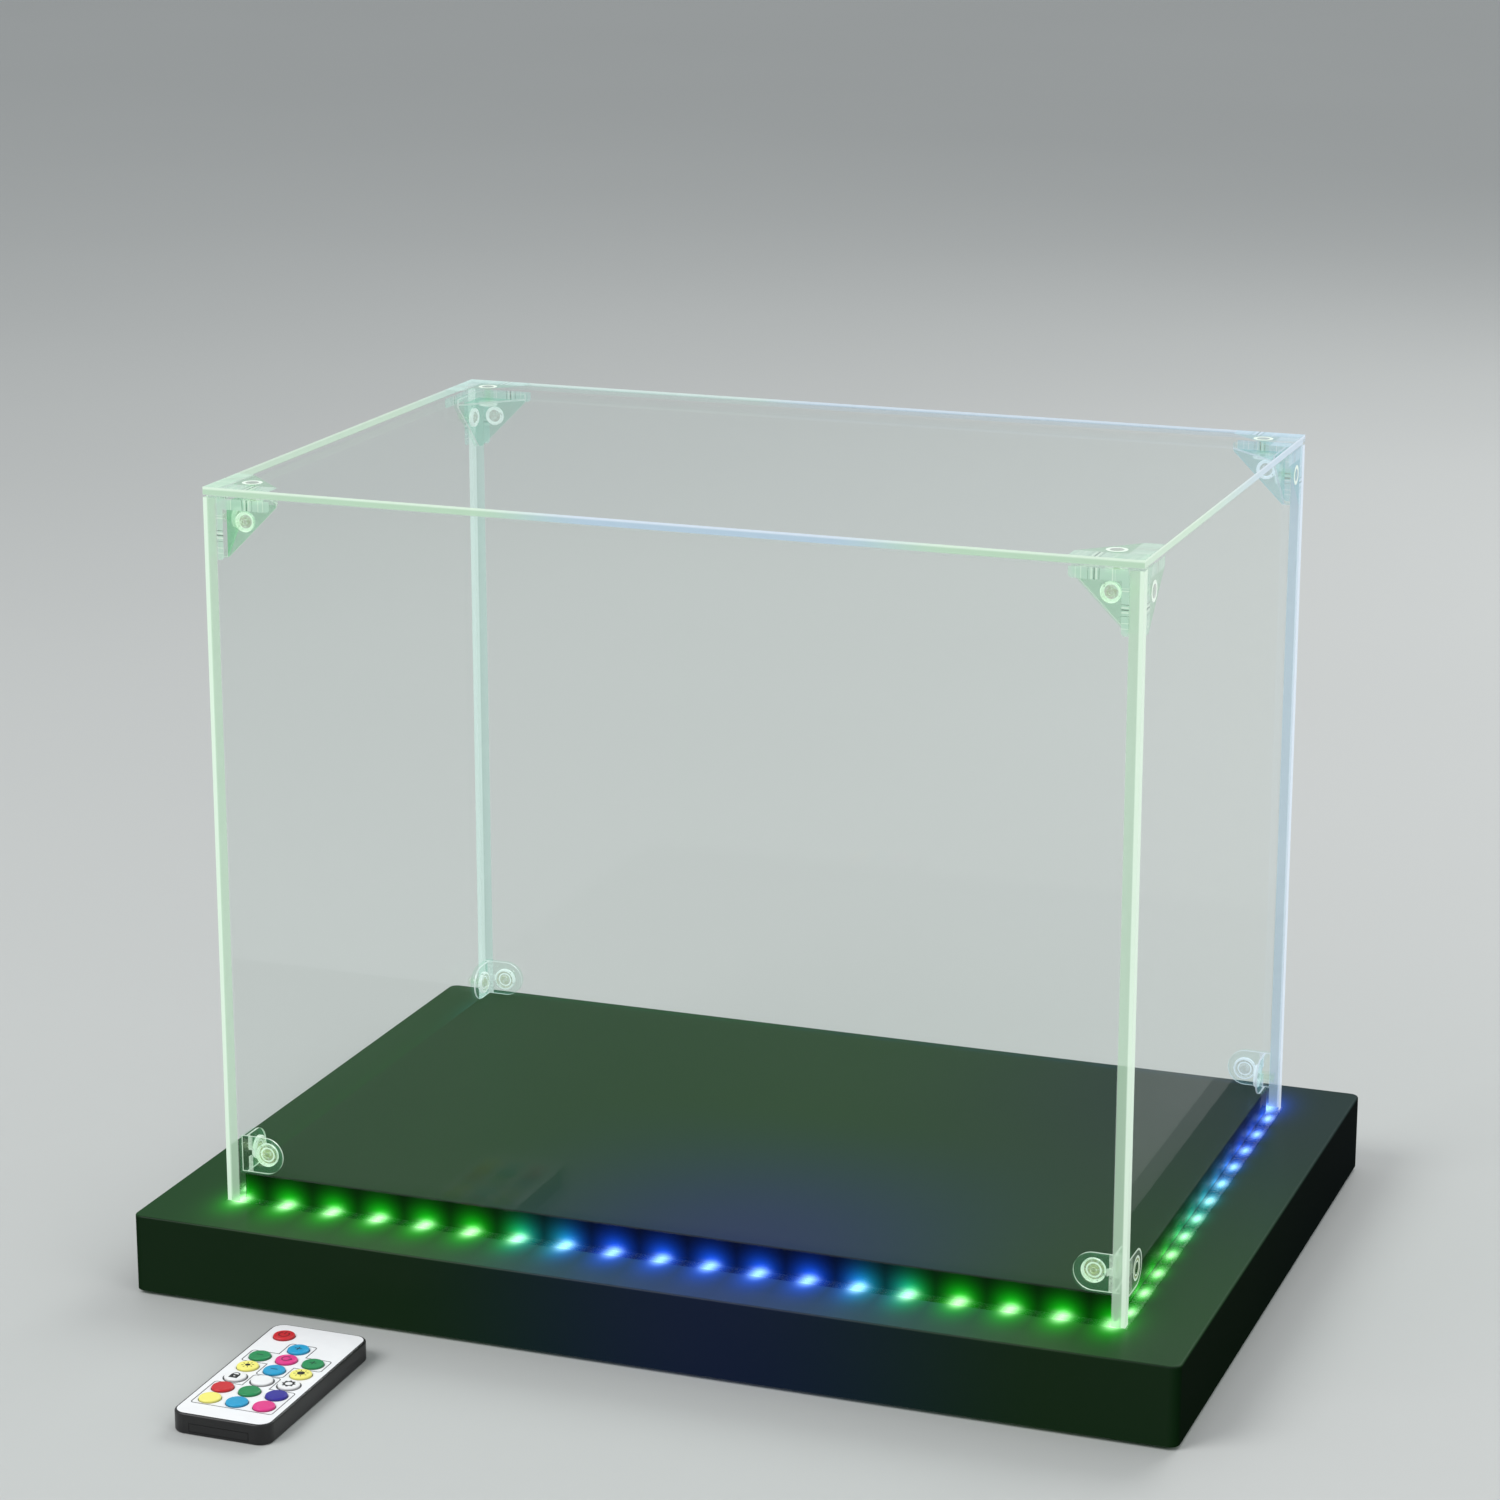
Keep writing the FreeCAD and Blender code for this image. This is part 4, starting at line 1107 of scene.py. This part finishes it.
LOOP_RADIUS = 1.5 * MM
LOOP_START = 60.0
LOOP_TURN = 280.0
ARROW_OUT = 1.75 * MM
ARROW_TIP = 0.9 * MM
ARROW_BASE = -0.5 * MM
ARROW_HALF = 0.9 * MM

face_middle = Vector(((face_low.x + face_high.x) / 2, (face_low.y + face_high.y) / 2))
remote_length = shell_high.y - shell_low.y


def key_place(column, row):
    """Middle of a key, seen from above: columns from -1 to 1, rows from the power end."""
    return face_middle + Vector((column * COLUMN_PITCH, remote_length / 2 - FIRST_ROW - row * ROW_PITCH))


def circle(middle, radius, start=0.0, turn=FULL_TURN):
    """Points round a circle, by angles in degrees, with the last one left out when it is closed."""
    count = CIRCLE_STEPS if turn >= FULL_TURN else CIRCLE_STEPS + 1
    angles = [math.radians(start + turn * i / CIRCLE_STEPS) for i in range(count)]
    return [middle + Vector((math.cos(angle), math.sin(angle))) * radius for angle in angles]


def rounded(corners):
    """Outline through square corners, anticlockwise, with its outward corners rounded."""
    points = []
    for i, corner in enumerate(corners):
        before = (corners[i - 1] - corner).normalized()
        after = (corners[(i + 1) % len(corners)] - corner).normalized()
        if before.cross(after) > 0:
            points.append(corner)
            continue
        middle = corner + (before + after) * LINE_ROUND
        for step in range(ARC_STEPS + 1):
            angle = math.pi / 2 * step / ARC_STEPS
            points.append(middle - (after * math.cos(angle) + before * math.sin(angle)) * LINE_ROUND)
    return points


def between_lines(shape, first, second, z, closed=True):
    """Flat band between two lines of as many points."""
    pairs = [[shape.verts.new((point.x, point.y, z)) for point in pair] for pair in zip(first, second)]
    for i in range(len(pairs) if closed else len(pairs) - 1):
        here, there = pairs[i], pairs[(i + 1) % len(pairs)]
        shape.faces.new((here[0], there[0], there[1], here[1]))


def line_band(shape, points, z):
    """Closed printed line along an outline."""
    shifts = []
    for i, point in enumerate(points):
        first = (point - points[i - 1]).normalized()
        second = (points[(i + 1) % len(points)] - point).normalized()
        normals = [Vector((way.y, -way.x)) for way in (first, second)]
        shifts.append((normals[0] + normals[1]) / (1 + normals[0].dot(normals[1])) * LINE / 2)
    inner = [point - shift for point, shift in zip(points, shifts)]
    outer = [point + shift for point, shift in zip(points, shifts)]
    between_lines(shape, inner, outer, z)


def bar(shape, start, end, width, z):
    """Straight printed bar."""
    way = (end - start).normalized()
    side = Vector((-way.y, way.x)) * width / 2
    between_lines(shape, [start - side, end - side], [start + side, end + side], z, closed=False)


def patch(shape, points, z):
    """Printed patch inside an outline."""
    shape.faces.new([shape.verts.new((point.x, point.y, z)) for point in points])


def arc(shape, middle, radius, width, start, turn, z):
    """Printed bow, by its inner radius."""
    inner, outer = [circle(middle, size, start, turn) for size in (radius, radius + width)]
    between_lines(shape, inner, outer, z, closed=False)


def print_piece(name, shape, material, body):
    """Raises flat faces into ink and lets it ride on a body of the remote."""
    flat = list(shape.faces)
    raised = bmesh.ops.extrude_face_region(shape, geom=flat)["geom"]
    lifted = [part for part in raised if isinstance(part, bmesh.types.BMVert)]
    bmesh.ops.translate(shape, verts=lifted, vec=(0.0, 0.0, INK))
    bmesh.ops.recalc_face_normals(shape, faces=shape.faces)
    piece = mesh_piece(name, shape, material)
    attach(piece, body)


def mirrored_line(shape, middle, right_half, z):
    """Closed line with rounded corners, from the corners of its right half, from the foot up."""
    left_half = [(-x, y) for x, y in reversed(right_half)]
    line_band(shape, rounded([middle + Vector(corner) for corner in right_half + left_half]), z)


def face_lines(ink):
    """Lines on the remote's face: a cross round five keys, a frame round seven, and rings round three."""
    z = face_high.z
    shape = bmesh.new()
    mirrored_line(shape, key_place(0, CROSS_KEY_ROW), [
        (CROSS_COLUMN, -ROW_PITCH - CROSS_BELOW),
        (CROSS_COLUMN, -CROSS_ROW),
        (FRAME_HALF, -CROSS_ROW),
        (FRAME_HALF, CROSS_ROW),
        (CROSS_COLUMN, CROSS_ROW),
        (CROSS_COLUMN, ROW_PITCH + CROSS_ABOVE),
    ], z)
    mirrored_line(shape, key_place(0, PALE_KEY_ROW), [
        (FRAME_HALF, (PALE_KEY_ROW - LAST_KEY_ROW) * ROW_PITCH - CROSS_ROW),
        (FRAME_HALF, FRAME_SHOULDER),
        (CROSS_COLUMN, FRAME_SHOULDER),
        (CROSS_COLUMN, FRAME_NECK),
    ], z)
    for column in (-1, 0, 1):
        line_band(shape, circle(key_place(column, PALE_KEY_ROW), KEY_RING), z)
    print_piece("remote_face_lines", shape, ink, "remote")


def power_sign(shape, middle, z):
    """Open ring with a bar in its gap."""
    arc(shape, middle, POWER_RADIUS - POWER_STROKE, POWER_STROKE, POWER_START, POWER_TURN, z)
    foot = middle + Vector((0, POWER_BAR_FOOT))
    bar(shape, foot, middle + Vector((0, POWER_BAR_TIP)), POWER_STROKE, z)


def sun_sign(shape, middle, z, size):
    """Dot with rays."""
    patch(shape, circle(middle, size), z)
    for ray in range(SUN_RAYS):
        angle = math.radians((ray + 0.5) * FULL_TURN / SUN_RAYS)
        way = Vector((math.cos(angle), math.sin(angle)))
        bar(shape, middle + way * (size + RAY_START), middle + way * (size + RAY_END), RAY_WIDTH, z)


def small_sun_sign(shape, middle, z):
    sun_sign(shape, middle, z, SMALL_SUN)


def large_sun_sign(shape, middle, z):
    sun_sign(shape, middle, z, LARGE_SUN)


def padlock_sign(shape, middle, z):
    """Padlock with a keyhole and a bow."""
    lock_middle = middle - Vector((0, (LOCK_LOW - LOCK_HIGH) / 2))
    half_height = (LOCK_LOW + LOCK_HIGH) / 2
    corners = [Vector((a * LOCK_HALF, b * half_height)) for a, b in SQUARE]
    plate = [lock_middle + corner for corner in corners]
    keyhole = [lock_middle + corner.normalized() * KEYHOLE for corner in corners]
    between_lines(shape, keyhole, plate, z)
    arc(shape, middle + Vector((0, LOCK_HIGH)), LOCK_BOW, STROKE, 0.0, FULL_TURN / 2, z)


def gear_sign(shape, middle, z):
    """Ring with teeth."""
    rim = []
    for i, way in enumerate(circle(Vector((0, 0)), 1.0)):
        on_tooth = i % TOOTH_STEPS < TOOTH_STEPS / 2
        rim.append(middle + way * (GEAR_TIP if on_tooth else GEAR_ROOT))
    between_lines(shape, circle(middle, GEAR_HOLE), rim, z)


def minus_sign(shape, middle, z):
    """Level bar."""
    reach = Vector((STROKE_REACH, 0))
    bar(shape, middle - reach, middle + reach, STROKE, z)


def plus_sign(shape, middle, z):
    """Level bar, with a stub above it and one below."""
    minus_sign(shape, middle, z)
    start = Vector((0, STROKE / 2))
    end = Vector((0, STROKE_REACH))
    bar(shape, middle + start, middle + end, STROKE, z)
    bar(shape, middle - start, middle - end, STROKE, z)


def loop_sign(shape, middle, z):
    """Open loop that ends in an arrow."""
    arc(shape, middle, LOOP_RADIUS, STROKE, LOOP_START, LOOP_TURN, z)
    tip = middle + Vector((ARROW_OUT, ARROW_TIP))
    base = middle + Vector((ARROW_OUT, ARROW_BASE))
    spread = Vector((ARROW_HALF, 0))
    patch(shape, (base - spread, base + spread, tip), z)


INK_BLACK = srgb(16, 16, 16)
INK_RED = srgb(104, 8, 14)
INK_CYAN = srgb(8, 60, 84)
INK_GREEN = srgb(4, 58, 32)
INK_PINK = srgb(104, 12, 60)
FACE_INK = srgb(28, 28, 30)
INK_GRAIN = 0.15 * MM
INK_ROUGHNESS = 0.5
INK_SKIN = 0.005 * MM
INK_PALER = 1.3
INK_LIFT = 0.002

# Column and row of a key, its sign and the ink
KEY_SIGNS = {
    "key_power": (-1, 0, power_sign, INK_RED),
    "key_speed_up": (0, 1, plus_sign, INK_CYAN),
    "key_effect_back": (-1, 2, minus_sign, INK_GREEN),
    "key_auto": (0, 2, loop_sign, INK_PINK),
    "key_effect_next": (1, 2, plus_sign, INK_GREEN),
    "key_dim": (-1, 3, small_sun_sign, INK_BLACK),
    "key_speed_down": (0, 3, minus_sign, INK_CYAN),
    "key_bright": (1, 3, large_sun_sign, INK_BLACK),
    "key_lock": (-1, 4, padlock_sign, INK_BLACK),
    "key_settings": (1, 4, gear_sign, INK_BLACK),
}


def ink_finish(name, colour):
    """Printed ink, a little uneven."""
    paler = tuple(part * INK_PALER + INK_LIFT for part in colour[:3]) + (1.0,)
    return plain_finish(name, colour, paler, INK_GRAIN, INK_ROUGHNESS, bump_depth=INK_SKIN)


def remote_prints():
    """Lines on the remote's face and signs on its keys."""
    face_lines(ink_finish("face_ink", FACE_INK))
    for key, (column, row, sign, colour) in KEY_SIGNS.items():
        shape = bmesh.new()
        sign(shape, key_place(column, row), face_high.z + KEY_RISE)
        label = key.replace("key_", "sign_")
        print_piece(label, shape, ink_finish(label + "_ink", colour), "cap_of_" + key)


# Floor, light and camera

FLOOR_HALF = 20.0
SKY_COLOUR = (0.93, 0.97, 1.0, 1.0)
SKY_STRENGTH = 0.55
LAMP_TARGET = Vector((0.0, 0.0, 0.1))

# Place, width and power of each lamp
LAMPS = {
    "key_lamp": (Vector((-1.3, -1.6, 2.0)), 1.6, 42.0),
    "fill_lamp": (Vector((1.9, -0.9, 1.5)), 1.4, 9.0),
    "back_lamp": (Vector((0.5, 1.9, 1.7)), 1.4, 22.0),
}

# Camera at the photograph's angle, by degrees from the front and above the floor
CAMERA_AZIMUTH = 20.36
CAMERA_ELEVATION = 15.24
CAMERA_DISTANCE = 1632.5 * MM
CAMERA_LENS = 97.53
CAMERA_TARGET = Vector((-9.0, 0.0, 203.9)) * MM

# Clear sheets and brackets that a line of sight may pass
CLEAR_LAYERS = 64


def aim(holder, place, target):
    """Puts a lamp or camera at a place, looking at a target."""
    bpy.context.scene.collection.objects.link(holder)
    holder.location = place
    holder.rotation_euler = (target - place).to_track_quat("-Z", "Y").to_euler()


def set_the_stage():
    """Floor and light."""
    shape = bmesh.new()
    bmesh.ops.create_grid(shape, x_segments=1, y_segments=1, size=FLOOR_HALF)
    floor = mesh_piece("floor", shape, pale_floor())
    world = bpy.data.worlds.new("soft_sky")
    world.use_nodes = True
    background = world.node_tree.nodes["Background"]
    background.inputs["Color"].default_value = SKY_COLOUR
    background.inputs["Strength"].default_value = SKY_STRENGTH
    bpy.context.scene.world = world
    for name, (place, size, energy) in LAMPS.items():
        lamp = bpy.data.lights.new(name, "AREA")
        lamp.shape = "DISK"
        lamp.size = size
        lamp.energy = energy
        aim(bpy.data.objects.new(name, lamp), place, LAMP_TARGET)


def set_the_camera():
    """Camera at the photograph's angle."""
    azimuth = math.radians(CAMERA_AZIMUTH)
    elevation = math.radians(CAMERA_ELEVATION)
    level = math.cos(elevation)
    back = Vector((math.sin(azimuth) * level, -math.cos(azimuth) * level, math.sin(elevation)))
    data = bpy.data.cameras.new("photo_camera")
    data.lens = CAMERA_LENS
    camera = bpy.data.objects.new("photo_camera", data)
    aim(camera, CAMERA_TARGET + back * CAMERA_DISTANCE, CAMERA_TARGET)
    bpy.context.scene.camera = camera


dress_cover()
dress_base_and_remote()
lens_strip()
remote_prints()
set_the_stage()
set_the_camera()
bpy.context.scene.view_settings.view_transform = "Standard"
bpy.context.scene.cycles.transparent_max_bounces = CLEAR_LAYERS
